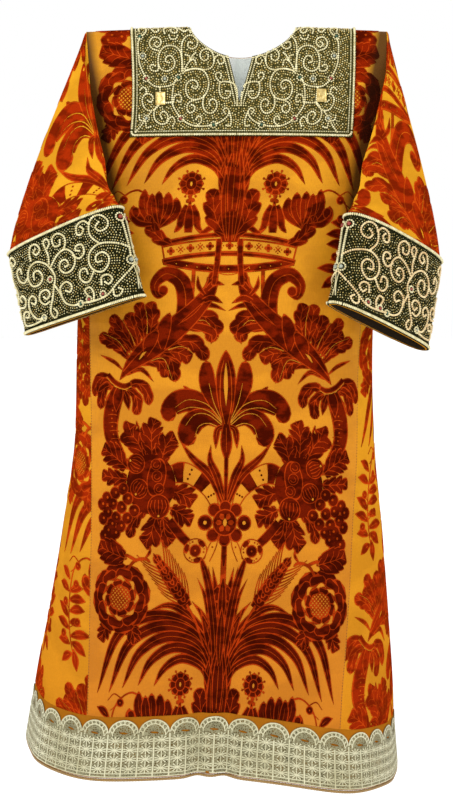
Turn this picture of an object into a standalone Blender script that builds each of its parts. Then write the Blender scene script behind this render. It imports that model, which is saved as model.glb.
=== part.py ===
"""A church dalmatic of figured velvet with a stiff embroidered collar, cuffs and a lace hem.

The garment keeps the hollow form that it has when it is worn, or hung from its shoulders, with nothing
inside it. Metres, +Z up, the front looks along -Y, and "left" is the -X side. The origin is the middle of
the shoulder line, where the shoulders carry the garment. Every cloth piece is a wall whose outer points
come from one body surface, so that neighbours meet at their seams and what lies on a panel follows it.
A level is given by its drop, the distance below the shoulder line, and a side by -1 or 1, left or right.
"""

import math

import bmesh
import bpy
import mathutils
import numpy as np

# ---------------------------------------------------------------- driving sizes, in metres

VELVET_WALL = 0.002
LINING_WALL = 0.001
COLLAR_WALL = 0.002
COLLAR_RIM = 0.0015         # how far the collar's corded edge stands above its field
CUFF_WALL = 0.002
CUFF_RIM = 0.0025           # how far the cuff's corded edges stand above its field
LACE_WALL = 0.0012
SEAM_GAP = 0.0004           # between pieces that are sewn edge to edge
LAY_GAP = 0.0006            # between a piece and what it lies on
LACE_GAP = 0.0011           # between the hem band and the lace that is gathered on it
HEM_SEAM_GAP = 0.0009       # between the velvet and the hem band, whose facets differ
STEEPEST_MITRE = 0.45       # keeps the offset at a sharp fold within about twice the wall

SHOULDER_RADIUS = 0.024     # the fold of the cloth over the shoulder line
SHOULDER_TURN = math.radians(70)
SHOULDER_RISE = 0.008       # how much higher the neck is than the sleeves' tips

NECK_HALF_WIDTH = {-1: 0.0955, 1: 0.1064}
NECK_FRONT_DROP = 0.061
NECK_BACK_DROP = 0.052
NECK_POWER = 0.75           # 0.5 would make the neck's edge an ellipse, and more is flatter at the sides
SLIT_HALF_WIDTH = 0.0225
SLIT_END_DROP = 0.142
COLLAR_HALF_WIDTH = {-1: 0.2086, 1: 0.2191}
COLLAR_DROP = 0.2055
UNDERARM_DROP = 0.290

HEM_DROP = 1.380
BAND_HEIGHT = 0.110
HEM_CORD_RADIUS = 0.003
HEM_CORD_STEP = 3           # band columns between two points of the cord

LACE_SCALLOPS = 34
LACE_PHASES = (0.0, 0.36, 0.64)     # columns of one scallop, with its gap between the last two
LACE_PEAK = 0.1045                  # heights above the hem's edge
LACE_VALLEY = 0.083
LACE_HOLE_HIGH = 0.0835
LACE_HOLE_LOW = 0.0755
LACE_EDGE = 0.0015

PLAQUE = (0.019, 0.003, 0.026)
PLAQUE_STAND = 0.0008       # from the collar's curved field to the plaque's flat back

# One row for each level. centre is the x of the front's middle, half_width reaches the side, roundness is
# the exponent of the superellipse, and the seams are measured along x from the centre.
SECTION_COLUMNS = ("drop", "centre", "half_width", "front_depth", "back_depth", "roundness",
                   "seam_left", "seam_right")
SECTIONS = (
    (0.000, 0.000, 0.300, 0.0226, 0.0226, 2.60, 0.2915, 0.2780),
    (0.016, 0.000, 0.300, 0.0226, 0.0226, 2.60, 0.2900, 0.2775),
    (0.060, 0.000, 0.298, 0.0400, 0.0380, 2.60, 0.2860, 0.2755),
    (0.140, -0.002, 0.294, 0.0640, 0.0600, 2.55, 0.2790, 0.2725),
    (0.210, -0.007, 0.290, 0.0840, 0.0780, 2.50, 0.2740, 0.2700),
    (0.290, -0.015, 0.286, 0.1040, 0.0960, 2.45, 0.2690, 0.2670),
    (0.450, -0.025, 0.283, 0.1320, 0.1220, 2.40, 0.2610, 0.2600),
    (0.650, -0.030, 0.285, 0.1500, 0.1400, 2.35, 0.2530, 0.2520),
    (0.780, -0.029, 0.290, 0.1640, 0.1540, 2.30, 0.2520, 0.2490),
    (0.900, -0.031, 0.305, 0.1800, 0.1720, 2.25, 0.2490, 0.2420),
    (1.000, -0.034, 0.317, 0.1950, 0.1880, 2.20, 0.2470, 0.2390),
    (1.120, -0.039, 0.332, 0.2120, 0.2060, 2.15, 0.2430, 0.2350),
    (1.220, -0.045, 0.345, 0.2270, 0.2200, 2.15, 0.2380, 0.2320),
    (1.300, -0.050, 0.353, 0.2390, 0.2310, 2.15, 0.2350, 0.2320),
    (1.390, -0.054, 0.364, 0.2520, 0.2420, 2.15, 0.2310, 0.2310),
)

# Soft vertical folds, which grow from where they start down to the hem. angle is measured round the body
# from the front's middle towards +X, and depth is outwards where it is above nought.
FOLD_COLUMNS = ("angle", "half_angle", "depth", "start_drop", "growth")
FOLDS = (
    (-34.0, 17.0, 0.010, 0.55, 1.3),
    (-1.0, 13.0, -0.012, 0.75, 1.2),
    (-3.6, 3.2, -0.018, 1.08, 1.6),
    (3.0, 3.2, -0.018, 1.08, 1.6),
    (41.0, 20.0, 0.022, 0.50, 1.2),
    (-78.0, 12.0, -0.005, 0.70, 1.2),
    (-100.0, 10.0, 0.012, 0.60, 1.2),
    (80.0, 11.0, -0.004, 0.75, 1.2),
    (104.0, 12.0, 0.011, 0.65, 1.2),
    (128.0, 12.0, -0.014, 0.55, 1.2),
    (150.0, 13.0, 0.016, 0.50, 1.2),
    (176.0, 12.0, -0.015, 0.60, 1.2),
    (-156.0, 13.0, 0.015, 0.50, 1.2),
    (-131.0, 12.0, -0.013, 0.60, 1.2),
)

# The hem hangs lower on the right: added is the drop beyond HEM_DROP, by the same angle as the folds.
HEM_COLUMNS = ("angle", "added")
HEM_LINE = (
    (-180.0, 0.014),
    (-135.0, 0.004),
    (-90.0, -0.006),
    (-45.0, 0.003),
    (0.0, -0.010),
    (45.0, 0.030),
    (80.0, 0.046),
    (135.0, 0.032),
    (180.0, 0.014),
)

# The cuff's two edges, as the corner away from the body, the corner over its front, and half the depth.
CUFF_COLUMNS = ("outer", "inner", "half_depth")
CUFFS = {
    -1: {
        "top": ((-0.4310, -0.058, -0.4220), (-0.2215, -0.172, -0.3370), 0.033),
        "bottom": ((-0.3940, -0.100, -0.5730), (-0.1780, -0.214, -0.5020), 0.037),
    },
    1: {
        "top": ((0.3730, -0.044, -0.4370), (0.1975, -0.172, -0.3500), 0.034),
        "bottom": ((0.3420, -0.096, -0.6020), (0.1640, -0.222, -0.5140), 0.038),
    },
}
CUFF_ROUNDNESS = 2.5

# The edge where each sleeve folds back over the body's front, down to the cuff. along is the share of the
# way from the armhole to the cuff, and turn is where the edge is round the sleeve, in half circles.
CREST_COLUMNS = ("along", "turn", "x", "y", "z")
CRESTS = {
    -1: (
        (0.15, 0.28, -0.276, -0.088, -0.090),
        (0.30, 0.40, -0.259, -0.118, -0.160),
        (0.50, 0.56, -0.238, -0.151, -0.250),
        (0.75, 0.78, -0.226, -0.168, -0.312),
        (1.00, 1.00, -0.2215, -0.172, -0.3370),
    ),
    1: (
        (0.15, 0.28, 0.260, -0.088, -0.090),
        (0.30, 0.40, 0.242, -0.118, -0.160),
        (0.50, 0.56, 0.212, -0.153, -0.250),
        (0.75, 0.78, 0.199, -0.169, -0.315),
        (1.00, 1.00, 0.1975, -0.172, -0.3500),
    ),
}
CREST_SPREAD = (0.29, 0.22)         # how wide the fold is before and after its crest, in half circles
CREST_START = 0.22                  # the shares of the way over which the crest forms and dies out
CREST_END = 0.12

SLEEVE_SEAM_GAP = 0.0006            # between the armhole and the sleeve sewn into it
SLEEVE_FIRST_STEP = 0.006           # how far the sleeve runs straight from the armhole before it bends
SLEEVE_EASINGS = 3                  # passes that even out the sleeve's rings between its two ends
SLEEVE_REACH = {"top": 0.10, "front": 0.10, "under": 0.15, "back": 0.10}
SLEEVE_CUFF_REACH = 0.3             # how early the sleeve lines up with its cuff, as a share of its length
HEADING_EASINGS = 2                 # and that even out the directions in which it leaves the armhole
UNDERARM_BULGE = 0.032              # how far the sleeve's underside stands out to pass the body's side
UNDERARM_BULGE_TURN = 1.14          # in half circles, with its spread
UNDERARM_BULGE_SPREAD = 0.26
SLEEVE_ROWS = (0.0, 0.07, 0.15, 0.25, 0.36, 0.47, 0.58, 0.69, 0.79, 0.88, 0.95, 1.0)
SLEEVE_CUFF_ROWS = (0.5, 1.0)
CUFF_ROWS = (0.0, 0.035, 0.075, 0.5, 0.925, 0.965, 1.0)
CUFF_RIM_ROWS = 2                   # rows at each end of the cuff that make its corded edge

# Columns of half a panel, as shares of the way to the collar's side edge, then from there to the seam.
COLLAR_COLUMNS = (0.0, 0.06, 0.13, 0.28, 0.44, 0.60, 0.79, 0.972, 1.0)
OUTER_COLUMNS = (0.5, 1.0)
NECK_COLUMN = 5                     # this column ends at the neck's side
COLLAR_COLUMN = len(COLLAR_COLUMNS) - 1
LAST_COLUMN = COLLAR_COLUMN + len(OUTER_COLUMNS)
NECK_SHARES = (0.0, 0.20, 0.42, 0.67, 0.88, 1.0)        # the neck curve's points, from the slit to the side

# Rows of a panel, each as a share of its zone's height.
YOKE_ROWS = (0.0, 0.07, 0.15, 0.25, 0.42, 0.60, 0.80, 1.0)
LOWER_COLLAR_ROWS = (0.50, 0.925, 1.0)
CHEST_ROWS = (0.5, 1.0)
SKIRT_ROWS = (0.08, 0.17, 0.27, 0.37, 0.47, 0.57, 0.67, 0.77, 0.86, 0.94, 1.0)
FIRST_CHEST_ROW = len(YOKE_ROWS) + len(LOWER_COLLAR_ROWS)
FIRST_SKIRT_ROW = FIRST_CHEST_ROW + len(CHEST_ROWS)
PANEL_ROWS = FIRST_SKIRT_ROW + len(SKIRT_ROWS)

GORE_COLUMNS = 10
SECTION_POINTS = 721                # points of the fine outline that each section is measured on

COLOURS = {
    "velvet": ((0.42, 0.06, 0.015), 0.75, 0.0),
    "silk": ((0.70, 0.36, 0.06), 0.50, 0.0),
    "lining": ((0.62, 0.70, 0.74), 0.60, 0.0),
    "pearl": ((0.62, 0.58, 0.42), 0.45, 0.0),
    "lace": ((0.66, 0.64, 0.52), 0.45, 0.4),
    "cord": ((0.42, 0.27, 0.10), 0.55, 0.3),
    "gold": ((0.80, 0.60, 0.25), 0.30, 1.0),
}


# ---------------------------------------------------------------- tables and vectors

def smooth_table(places, values, at):
    """The values between a table's rows, on a curve that never overshoots them."""
    places, values, at = (np.asarray(given, float) for given in (places, values, at))
    step = np.diff(places)
    slope = np.diff(values) / step
    same_way = slope[:-1] * slope[1:] > 0
    before, after = 2 * step[1:] + step[:-1], step[1:] + 2 * step[:-1]
    first, second = (np.where(same_way, part, 1) for part in (slope[:-1], slope[1:]))
    bend = np.zeros(len(places))
    bend[1:-1] = np.where(same_way, 3 * (step[:-1] + step[1:]) / (before / first + after / second), 0)
    bend[0], bend[-1] = slope[0], slope[-1]
    i = np.clip(np.searchsorted(places, at) - 1, 0, len(step) - 1)
    t = (np.clip(at, places[0], places[-1]) - places[i]) / step[i]
    return (values[i] * (1 + 2 * t) * (1 - t) ** 2 + bend[i] * step[i] * t * (1 - t) ** 2
            + values[i + 1] * t * t * (3 - 2 * t) + bend[i + 1] * step[i] * t * t * (t - 1))


def soft_step(t):
    t = np.clip(t, 0.0, 1.0)
    return t * t * (3 - 2 * t)


def unit(vectors):
    return vectors / np.maximum(np.linalg.norm(vectors, axis=-1, keepdims=True), 1e-12)


def lengths_along(line, closed=False):
    """The length along a line of points up to each of them, and back to the first if it is closed."""
    line = np.concatenate([line, line[:1]]) if closed else line
    return np.concatenate([[0], np.cumsum(np.linalg.norm(np.diff(line, axis=0), axis=1))])


def along_line(line, at, lengths):
    """Points at given lengths along a line."""
    return np.stack([np.interp(at, lengths, line[:, k]) for k in range(line.shape[1])], axis=1)


# ---------------------------------------------------------------- the body's sections

def section_at(drop):
    """The section's sizes at a level, by name."""
    rows = np.array(SECTIONS)
    return {name: float(smooth_table(rows[:, 0], rows[:, column], drop))
            for column, name in enumerate(SECTION_COLUMNS) if column}


def seam_of(size, side):
    return size["seam_left"] if side < 0 else size["seam_right"]


def fold_depth(angle, drop):
    """How far the folds move the cloth outwards at angles round the body, in degrees."""
    moved = np.zeros_like(angle)
    for middle, half_angle, depth, start, growth in FOLDS:
        away = (angle - middle + 180.0) % 360.0 - 180.0
        grown = soft_step((drop - start) / (HEM_DROP - start)) ** growth
        moved += depth * grown * np.exp(-1.6 * (away / half_angle) ** 2)
    return moved


def hem_drop(angle):
    angle = (np.asarray(angle, float) + 180.0) % 360.0 - 180.0
    return HEM_DROP + smooth_table(*zip(*HEM_LINE), angle)


def outline(drop):
    """The fine outline of a section as rows of x, y and the angle round it, from back to back."""
    size = section_at(drop)
    turn = np.linspace(-math.pi, math.pi, SECTION_POINTS)
    power = 2 / size["roundness"]
    across = np.sign(np.sin(turn)) * np.abs(np.sin(turn)) ** power
    along = np.abs(np.cos(turn)) ** power
    front = np.abs(turn) <= math.pi / 2
    x = size["centre"] + size["half_width"] * across
    y = np.where(front, -size["front_depth"] * along, size["back_depth"] * along)
    angle = np.degrees(turn)
    ahead = unit(np.stack([np.gradient(x), np.gradient(y)], axis=1))
    moved = fold_depth(angle, drop)
    return np.stack([x + moved * ahead[:, 1], y - moved * ahead[:, 0], angle], axis=1)


def yoke_curve(face, drop, size):
    """The outline of the front (-1) or back (+1) panel above the underarm, where the sheets are flatter."""
    x = np.linspace(size["centre"] - size["seam_left"], size["centre"] + size["seam_right"], SECTION_POINTS)
    share = np.clip(np.abs(x - size["centre"]) / size["half_width"], 0, 0.999)
    arch = (1 - share ** size["roundness"]) ** (1 / size["roundness"])
    flat = 1 - 0.22 * share ** 3
    rounded = soft_step(drop / UNDERARM_DROP)
    y = face * (flat + rounded * (arch - flat)) * size["front_depth" if face < 0 else "back_depth"]
    return np.stack([x, y, np.degrees(np.arctan2(x - size["centre"], -y))], axis=1)


def panel_curve(face, drop):
    """The fine outline of the front (-1) or back (+1) panel from its left to its right seam."""
    size = section_at(drop)
    if drop < UNDERARM_DROP:
        return yoke_curve(face, drop, size)
    line = outline(drop)
    if face > 0:                                    # from the left side over the back to the right side
        middle = SECTION_POINTS // 2
        line = np.concatenate([line[middle:-1], line[:middle + 1]])[::-1]
    x = line[:, 0]
    low, high = size["centre"] - size["seam_left"], size["centre"] + size["seam_right"]
    inside = np.flatnonzero((line[:, 1] * face > 0) & (x > low) & (x < high))
    first, last = inside[0], inside[-1]
    start = line[first] + (low - x[first]) / (x[first - 1] - x[first]) * (line[first - 1] - line[first])
    end = line[last] + (high - x[last]) / (x[last + 1] - x[last]) * (line[last + 1] - line[last])
    return np.concatenate([[start], line[inside], [end]])


def gore_curve(side, drop):
    """The fine outline of a side gore, from its seam on the front to its seam on the back."""
    line = outline(drop)
    end = -1 if side > 0 else 0
    front, back = panel_curve(-1, drop)[end], panel_curve(1, drop)[end]
    turned = side * line[:, 2]
    between = line[(turned > side * front[2]) & (turned < side * back[2])]
    return np.concatenate([[front], between if side > 0 else between[::-1], [back]])


# ---------------------------------------------------------------- points on the body's surface

SHOULDER_RUN = SHOULDER_RADIUS * SHOULDER_TURN      # cloth length of the fold over the shoulder
SHOULDER_DROP = SHOULDER_RADIUS * (1 - math.cos(SHOULDER_TURN))


def run_of_drop(drop):
    """The cloth's length from the shoulder line down to a level."""
    if drop < SHOULDER_DROP:
        return SHOULDER_RADIUS * math.acos(1 - drop / SHOULDER_RADIUS)
    return SHOULDER_RUN + drop - SHOULDER_DROP


def level_of_run(run):
    """(drop, share of the depth) at a cloth length below the shoulder line."""
    if run < SHOULDER_RUN:
        turn = run / SHOULDER_RADIUS
        return SHOULDER_RADIUS * (1 - math.cos(turn)), math.sin(turn) / math.sin(SHOULDER_TURN)
    return run - SHOULDER_RUN + SHOULDER_DROP, 1.0


def column_share(side, column):
    """A panel's column as a share of the way from its middle to its seam."""
    edge = COLLAR_HALF_WIDTH[side] / seam_of(section_at(0), side)
    if column <= COLLAR_COLUMN:
        return COLLAR_COLUMNS[column] * edge
    return edge + OUTER_COLUMNS[column - COLLAR_COLUMN - 1] * (1 - edge)


def at_shares(line, centre, shares):
    """Points of a panel's outline at shares from its middle to its seams, -1 to 1."""
    lengths = lengths_along(line[:, :2])
    middle = np.interp(centre, line[:, 0], lengths)
    shares = np.asarray(shares, float)
    return along_line(line, middle + shares * np.where(shares > 0, lengths[-1] - middle, middle), lengths)


def panel_point(face, share, run):
    """A point of a panel's outer face above the underarm, run being the cloth's length from the shoulder."""
    drop, depth_share = level_of_run(run)
    size = section_at(drop)
    x, y, _ = at_shares(panel_curve(face, drop), size["centre"], [share])[0]
    risen = 1 - min(1, abs(x) / size["half_width"]) ** 1.5
    rise = SHOULDER_RISE * (1 - soft_step(drop / UNDERARM_DROP)) * risen
    return np.array([x, y * depth_share, rise - drop])


PANEL_SHARES = ([-column_share(-1, k) for k in range(LAST_COLUMN, 0, -1)]
                + [column_share(1, k) for k in range(LAST_COLUMN + 1)])


def skirt_rows(piece, levels):
    """A piece's points below the underarm: level 0 is the underarm, and 1 is where the hem band starts."""
    rows = []
    for level in levels:
        nominal = UNDERARM_DROP + level * (HEM_DROP - BAND_HEIGHT - UNDERARM_DROP)
        if piece in ("front_panel", "back_panel"):
            curve = panel_curve(-1 if piece == "front_panel" else 1, nominal)
            points = at_shares(curve, section_at(nominal)["centre"], PANEL_SHARES)
        else:
            curve = gore_curve(-1 if piece == "gore_left" else 1, nominal)
            lengths = lengths_along(curve[:, :2])
            points = along_line(curve, np.linspace(0, lengths[-1], GORE_COLUMNS + 1), lengths)
        drop = UNDERARM_DROP + level * (hem_drop(points[:, 2]) - BAND_HEIGHT - UNDERARM_DROP)
        rows.append(np.stack([points[:, 0], points[:, 1], -drop], axis=1))
    return np.array(rows)


def band_row(height, columns):
    """The ring of the hem band at a height above the hem, from the left side over the front."""
    line = outline(HEM_DROP - height)
    left = int(np.argmin(np.abs(line[:, 2] + 90)))
    line = np.concatenate([line[left:-1], line[:left]])
    lengths = lengths_along(line[:, :2], closed=True)
    front = np.interp(0, line[:SECTION_POINTS // 2, 2], lengths[:SECTION_POINTS // 2])
    closed = np.concatenate([line, line[:1] + (0, 0, 360)])
    closed[:, 2] = np.unwrap(np.radians(closed[:, 2]))
    at = (front + (columns - 0.25) * lengths[-1]) % lengths[-1]
    points = along_line(closed, at, lengths)
    return np.stack([points[:, 0], points[:, 1], height - hem_drop(np.degrees(points[:, 2]))], axis=1)


# ---------------------------------------------------------------- meshes

def grid_normals(grid, closed=False):
    """Unit normals of a grid: down its rows crossed with across its columns."""
    wide = np.concatenate([grid[:, -1:], grid, grid[:, :1]], axis=1) if closed else grid
    across = np.gradient(wide, axis=1)
    return unit(np.cross(np.gradient(grid, axis=0), across[:, 1:-1] if closed else across))


def triangle_normals(points, triangles):
    a, b, c = (points[triangles[:, i]] for i in range(3))
    return np.cross(b - a, c - a)


def smooth_normals(points, triangles):
    """Unit normals of a triangle mesh at its points, weighted by area."""
    facing = triangle_normals(points, triangles)
    normal = np.zeros_like(points)
    for i in range(3):
        np.add.at(normal, triangles[:, i], facing)
    return unit(normal)


def mitred(points, triangles, normals):
    """The normals made longer at folds, so that an offset along them moves each face by its whole amount."""
    facing = unit(triangle_normals(points, triangles))
    least = np.ones(len(points))
    for i in range(3):
        corner = triangles[:, i]
        np.minimum.at(least, corner, (facing * normals[corner]).sum(axis=1))
    return normals / np.maximum(least, STEEPEST_MITRE)[:, None]


def grid_triangles(index):
    """Two triangles for each cell of a grid of point numbers."""
    a, b, c, d = index[:-1, :-1], index[:-1, 1:], index[1:, 1:], index[1:, :-1]
    return np.concatenate([np.stack([a, d, c], axis=-1).reshape(-1, 3),
                           np.stack([a, c, b], axis=-1).reshape(-1, 3)])


def numbered(grid, closed=False):
    """The point numbers of a grid, with the first column again where it closes."""
    index = np.arange(grid.shape[0] * grid.shape[1]).reshape(grid.shape[:2])
    return np.concatenate([index, index[:, :1]], axis=1) if closed else index


def sided_triangles(grid, side, closed=False):
    """A grid's triangles, wound for a piece whose columns run towards the front's right on side -1."""
    triangles = grid_triangles(numbered(grid, closed))
    return triangles if side < 0 else triangles[:, ::-1]


def material_named(name):
    found = bpy.data.materials.get(name)
    if found:
        return found
    colour, roughness, metallic = COLOURS[name]
    made = bpy.data.materials.new(name)
    made.use_nodes = True
    shader = made.node_tree.nodes["Principled BSDF"]
    shader.inputs["Base Color"].default_value = (*colour, 1.0)
    shader.inputs["Roughness"].default_value = roughness
    shader.inputs["Metallic"].default_value = metallic
    made.diffuse_color = (*colour, 1.0)
    return made


def wall(name, outer, inner, triangles, material, collection):
    """A closed wall from matching outer and inner points and the triangles of its outer face."""
    count = len(outer)
    edges = {(int(t[i]), int(t[(i + 1) % 3])) for t in triangles for i in range(3)}
    rim = [(b, a, a + count, b + count) for a, b in sorted(edges) if (b, a) not in edges]
    faces = triangles.tolist() + (triangles[:, ::-1] + count).tolist() + rim
    mesh = bpy.data.meshes.new(name)
    mesh.from_pydata(np.concatenate([outer, inner]).tolist(), [], faces)
    mesh.materials.append(material_named(material))
    mesh.shade_smooth()
    mesh.set_sharp_from_angle(angle=math.radians(50))
    collection.objects.link(bpy.data.objects.new(name, mesh))


# ---------------------------------------------------------------- panels, with the neck and the slit

def neck_point(face, side, column):
    """(share, run) of the neck curve's point where a column of half a panel starts."""
    width = NECK_HALF_WIDTH[side]
    if face < 0:
        x = SLIT_HALF_WIDTH + NECK_SHARES[column] * (width - SLIT_HALF_WIDTH)
        drop = NECK_FRONT_DROP
    else:                                           # the back has no slit, so its columns start evenly
        x = width * column / NECK_COLUMN
        drop = NECK_BACK_DROP
    return x / seam_of(section_at(0), side), run_of_drop(drop * max(0, 1 - (x / width) ** 2) ** NECK_POWER)


def yoke_point(face, side, column, fraction):
    """A point between the neck or the shoulder line and the level of the slit's end."""
    end = column_share(side, column)
    share, run = neck_point(face, side, column) if column <= NECK_COLUMN else (end, 0.0)
    share += fraction * (end - share)
    run += fraction * (run_of_drop(SLIT_END_DROP) - run)
    return panel_point(face, side * share, run)


def zone_runs():
    """The rows between the slit's end and the underarm, as cloth lengths from the shoulder."""
    slit, collar, underarm = (run_of_drop(d) for d in (SLIT_END_DROP, COLLAR_DROP, UNDERARM_DROP))
    return ([slit + f * (collar - slit) for f in LOWER_COLLAR_ROWS]
            + [collar + f * (underarm - collar) for f in CHEST_ROWS])


def half_cells(number, face, columns, rows):
    """Triangles of both halves of a panel from its point numbers by (side, column, row)."""
    triangles = []
    for side in (-1, 1):
        for column in range(columns):
            pair = (column, column + 1) if side * face < 0 else (column + 1, column)
            index = np.array([[number[(side, k, row)] for k in pair] for row in range(rows)])
            triangles.append(grid_triangles(index))
    return np.concatenate(triangles)


def on_shoulder(column, row):
    return row == 0 and column >= NECK_COLUMN


def panel_mesh(face, skirt, skirt_normal):
    """The outer face of the front (-1) or back (+1) panel: its points, triangles, normals, and the number of
    each point by (side, column, row), where rows go from the neck or the shoulder line to the hem band."""
    points, number = [], {}
    runs = zone_runs()
    for side in (-1, 1):
        for column in range(LAST_COLUMN + 1):
            for row in range(PANEL_ROWS):
                split = face < 0 and row < len(YOKE_ROWS) - 1       # the slit parts the middle column
                if column == 0 and side > 0 and not split:
                    number[(side, column, row)] = number[(-side, column, row)]
                    continue
                if row < len(YOKE_ROWS):
                    place = yoke_point(face, side, column, YOKE_ROWS[row])
                elif row < FIRST_SKIRT_ROW:
                    share = side * column_share(side, column)
                    place = panel_point(face, share, runs[row - len(YOKE_ROWS)])
                else:
                    place = skirt[row - FIRST_SKIRT_ROW + 1, LAST_COLUMN + side * column]
                number[(side, column, row)] = len(points)
                points.append(place)
    points = np.array(points)
    triangles = half_cells(number, face, LAST_COLUMN, PANEL_ROWS)
    normals = smooth_normals(points, triangles)
    for (side, column, row), i in number.items():
        if on_shoulder(column, row):
            normals[i] = unit(normals[i] * (1, 0, 1))
        if row >= FIRST_SKIRT_ROW:
            normals[i] = skirt_normal[row - FIRST_SKIRT_ROW + 1, LAST_COLUMN + side * column]
    for side in (-1, 1):                            # the seams below the underarm are parted
        for row in range(FIRST_SKIRT_ROW - 1, PANEL_ROWS):
            edge, before = number[(side, LAST_COLUMN, row)], number[(side, LAST_COLUMN - 1, row)]
            points[edge] += unit(points[before] - points[edge]) * SEAM_GAP / 2
    return points, triangles, mitred(points, triangles, normals), number


def build_panels(panels, collection):
    for name, (points, triangles, normals, number) in panels.items():
        outer = points.copy()
        for (_, column, row), i in number.items():
            if on_shoulder(column, row):            # the shoulder seam is parted too
                outer[i, 1] = (-1 if name == "front_panel" else 1) * SEAM_GAP / 2
        wall(name, outer, outer - VELVET_WALL * normals, triangles, "velvet", collection)


def build_collar(panels, collection):
    """One stiff piece over both shoulders, made from the panels' own points, moved out."""
    points, normals, stand, shared, triangles = [], [], [], {}, []
    for name, face in (("front_panel", -1), ("back_panel", 1)):
        panel, _, panel_normals, panel_number = panels[name]
        number = {}
        for (side, column, row), i in panel_number.items():
            if column > COLLAR_COLUMN or row >= FIRST_CHEST_ROW:
                continue
            key = ("shoulder", side, column) if on_shoulder(column, row) else (face, i)
            if key not in shared:
                shared[key] = len(points)
                points.append(panel[i] * (1, 0, 1) if on_shoulder(column, row) else panel[i])
                normals.append(panel_normals[i])
                edge = column == COLLAR_COLUMN or row == FIRST_CHEST_ROW - 1
                stand.append(COLLAR_RIM if edge else 0.0)
            number[(side, column, row)] = shared[key]
        triangles.append(half_cells(number, face, COLLAR_COLUMN, FIRST_CHEST_ROW))
    normals = np.array(normals)
    inner = np.array(points) + normals * LAY_GAP
    outer = inner + normals * (COLLAR_WALL + np.array(stand)[:, None])
    wall("collar", outer, inner, np.concatenate(triangles), "pearl", collection)


def build_neck_lining(back_panel, collection):
    """The pale lining of the back, which shows through the slit."""
    panel, _, normals, number = back_panel
    columns = [(-1, k) for k in range(NECK_COLUMN - 1, 0, -1)] + [(1, k) for k in range(NECK_COLUMN)]
    grid = np.array([[number[(side, column, row)] for side, column in columns[::-1]]
                     for row in range(FIRST_CHEST_ROW - 1)])
    outer = (panel - normals * (VELVET_WALL + LAY_GAP))[grid]
    inner = outer - normals[grid] * LINING_WALL
    wall("neck_lining", outer.reshape(-1, 3), inner.reshape(-1, 3), grid_triangles(numbered(grid)), "lining",
         collection)


# ---------------------------------------------------------------- gores and the hem

def skirt_normals(skirt):
    """The normals of the four skirt pieces, smooth across their seams."""
    front, right, back, left = (skirt[p] for p in ("front_panel", "gore_right", "back_panel", "gore_left"))
    ring = np.concatenate([front[:, :-1], right[:, :-1], back[:, :0:-1], left[:, :0:-1]], axis=1)
    normals = grid_normals(ring, closed=True)
    normals = np.concatenate([normals, normals[:, :1]], axis=1)
    ends = np.cumsum([front.shape[1] - 1, right.shape[1] - 1, back.shape[1] - 1])
    return {
        "front_panel": normals[:, :ends[0] + 1],
        "gore_right": normals[:, ends[0]:ends[1] + 1],
        "back_panel": normals[:, ends[1]:ends[2] + 1][:, ::-1],
        "gore_left": normals[:, ends[2]:][:, ::-1],
    }


def build_gores(skirt, normals, collection):
    for name, side in (("gore_left", -1), ("gore_right", 1)):
        grid = skirt[name].copy()
        grid[:, 0] += unit(skirt[name][:, 1] - skirt[name][:, 0]) * SEAM_GAP / 2
        grid[:, -1] += unit(skirt[name][:, -2] - skirt[name][:, -1]) * SEAM_GAP / 2
        triangles = sided_triangles(grid, -side)
        outer = grid.reshape(-1, 3)
        inner = outer - VELVET_WALL * mitred(outer, triangles, normals[name].reshape(-1, 3))
        wall(name, outer, inner, triangles, "velvet", collection)


def build_hem_band(collection):
    """The plain silk border under the lace. Its columns are the lace's own."""
    columns = (np.arange(LACE_SCALLOPS)[:, None] + np.array(LACE_PHASES)).ravel() / LACE_SCALLOPS
    grid = np.array([band_row(height, columns) for height in (BAND_HEIGHT, LACE_HOLE_LOW, 0.0)])
    triangles = grid_triangles(numbered(grid, closed=True))
    points = grid.reshape(-1, 3)
    normals = mitred(points, triangles, grid_normals(grid, closed=True).reshape(-1, 3))
    outer = points.copy()
    outer[:grid.shape[1], 2] -= HEM_SEAM_GAP
    wall("hem_band", outer, outer - VELVET_WALL * normals, triangles, "silk", collection)
    return grid, normals.reshape(grid.shape)


def lace_line(grid, normals, column, phase):
    """The band's points and normals down one column of the lace."""
    top = LACE_VALLEY if phase == 0 else LACE_PEAK
    heights = np.array((top, LACE_HOLE_HIGH - (0.004 if phase == 0 else 0.0), LACE_HOLE_LOW,
                        LACE_HOLE_LOW / 2, LACE_EDGE))
    known = np.array((0.0, LACE_HOLE_LOW, BAND_HEIGHT))
    column %= grid.shape[1]
    return tuple(np.stack([np.interp(heights, known, source[::-1, column, k]) for k in range(3)], axis=1)
                 for source in (grid, normals))


def build_lace(grid, normals, collection):
    """The scalloped lace in a front and a back length, with a crescent gap in each scallop."""
    steps = len(LACE_PHASES)
    half = LACE_SCALLOPS // 2 * steps
    for name, first in (("hem_lace_front", 0), ("hem_lace_back", half)):
        lines = [lace_line(grid, normals, first + k, LACE_PHASES[k % steps]) for k in range(half + 1)]
        places, facing = (np.array(group).transpose(1, 0, 2) for group in zip(*lines))
        places[:, 0] += unit(places[:, 1] - places[:, 0]) * SEAM_GAP / 2
        places[:, -1] += unit(places[:, -2] - places[:, -1]) * SEAM_GAP / 2
        index = numbered(places)
        triangles = [grid_triangles(index[:2]), grid_triangles(index[2:])]
        for k in range(half):
            if k % steps != 1:                      # the gap takes the middle cell's place
                triangles.append(grid_triangles(index[1:3, k:k + 2]))
        inner = (places + facing * LACE_GAP).reshape(-1, 3)
        outer = (places + facing * (LACE_GAP + LACE_WALL)).reshape(-1, 3)
        wall(name, outer, inner, np.concatenate(triangles), "lace", collection)


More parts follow.
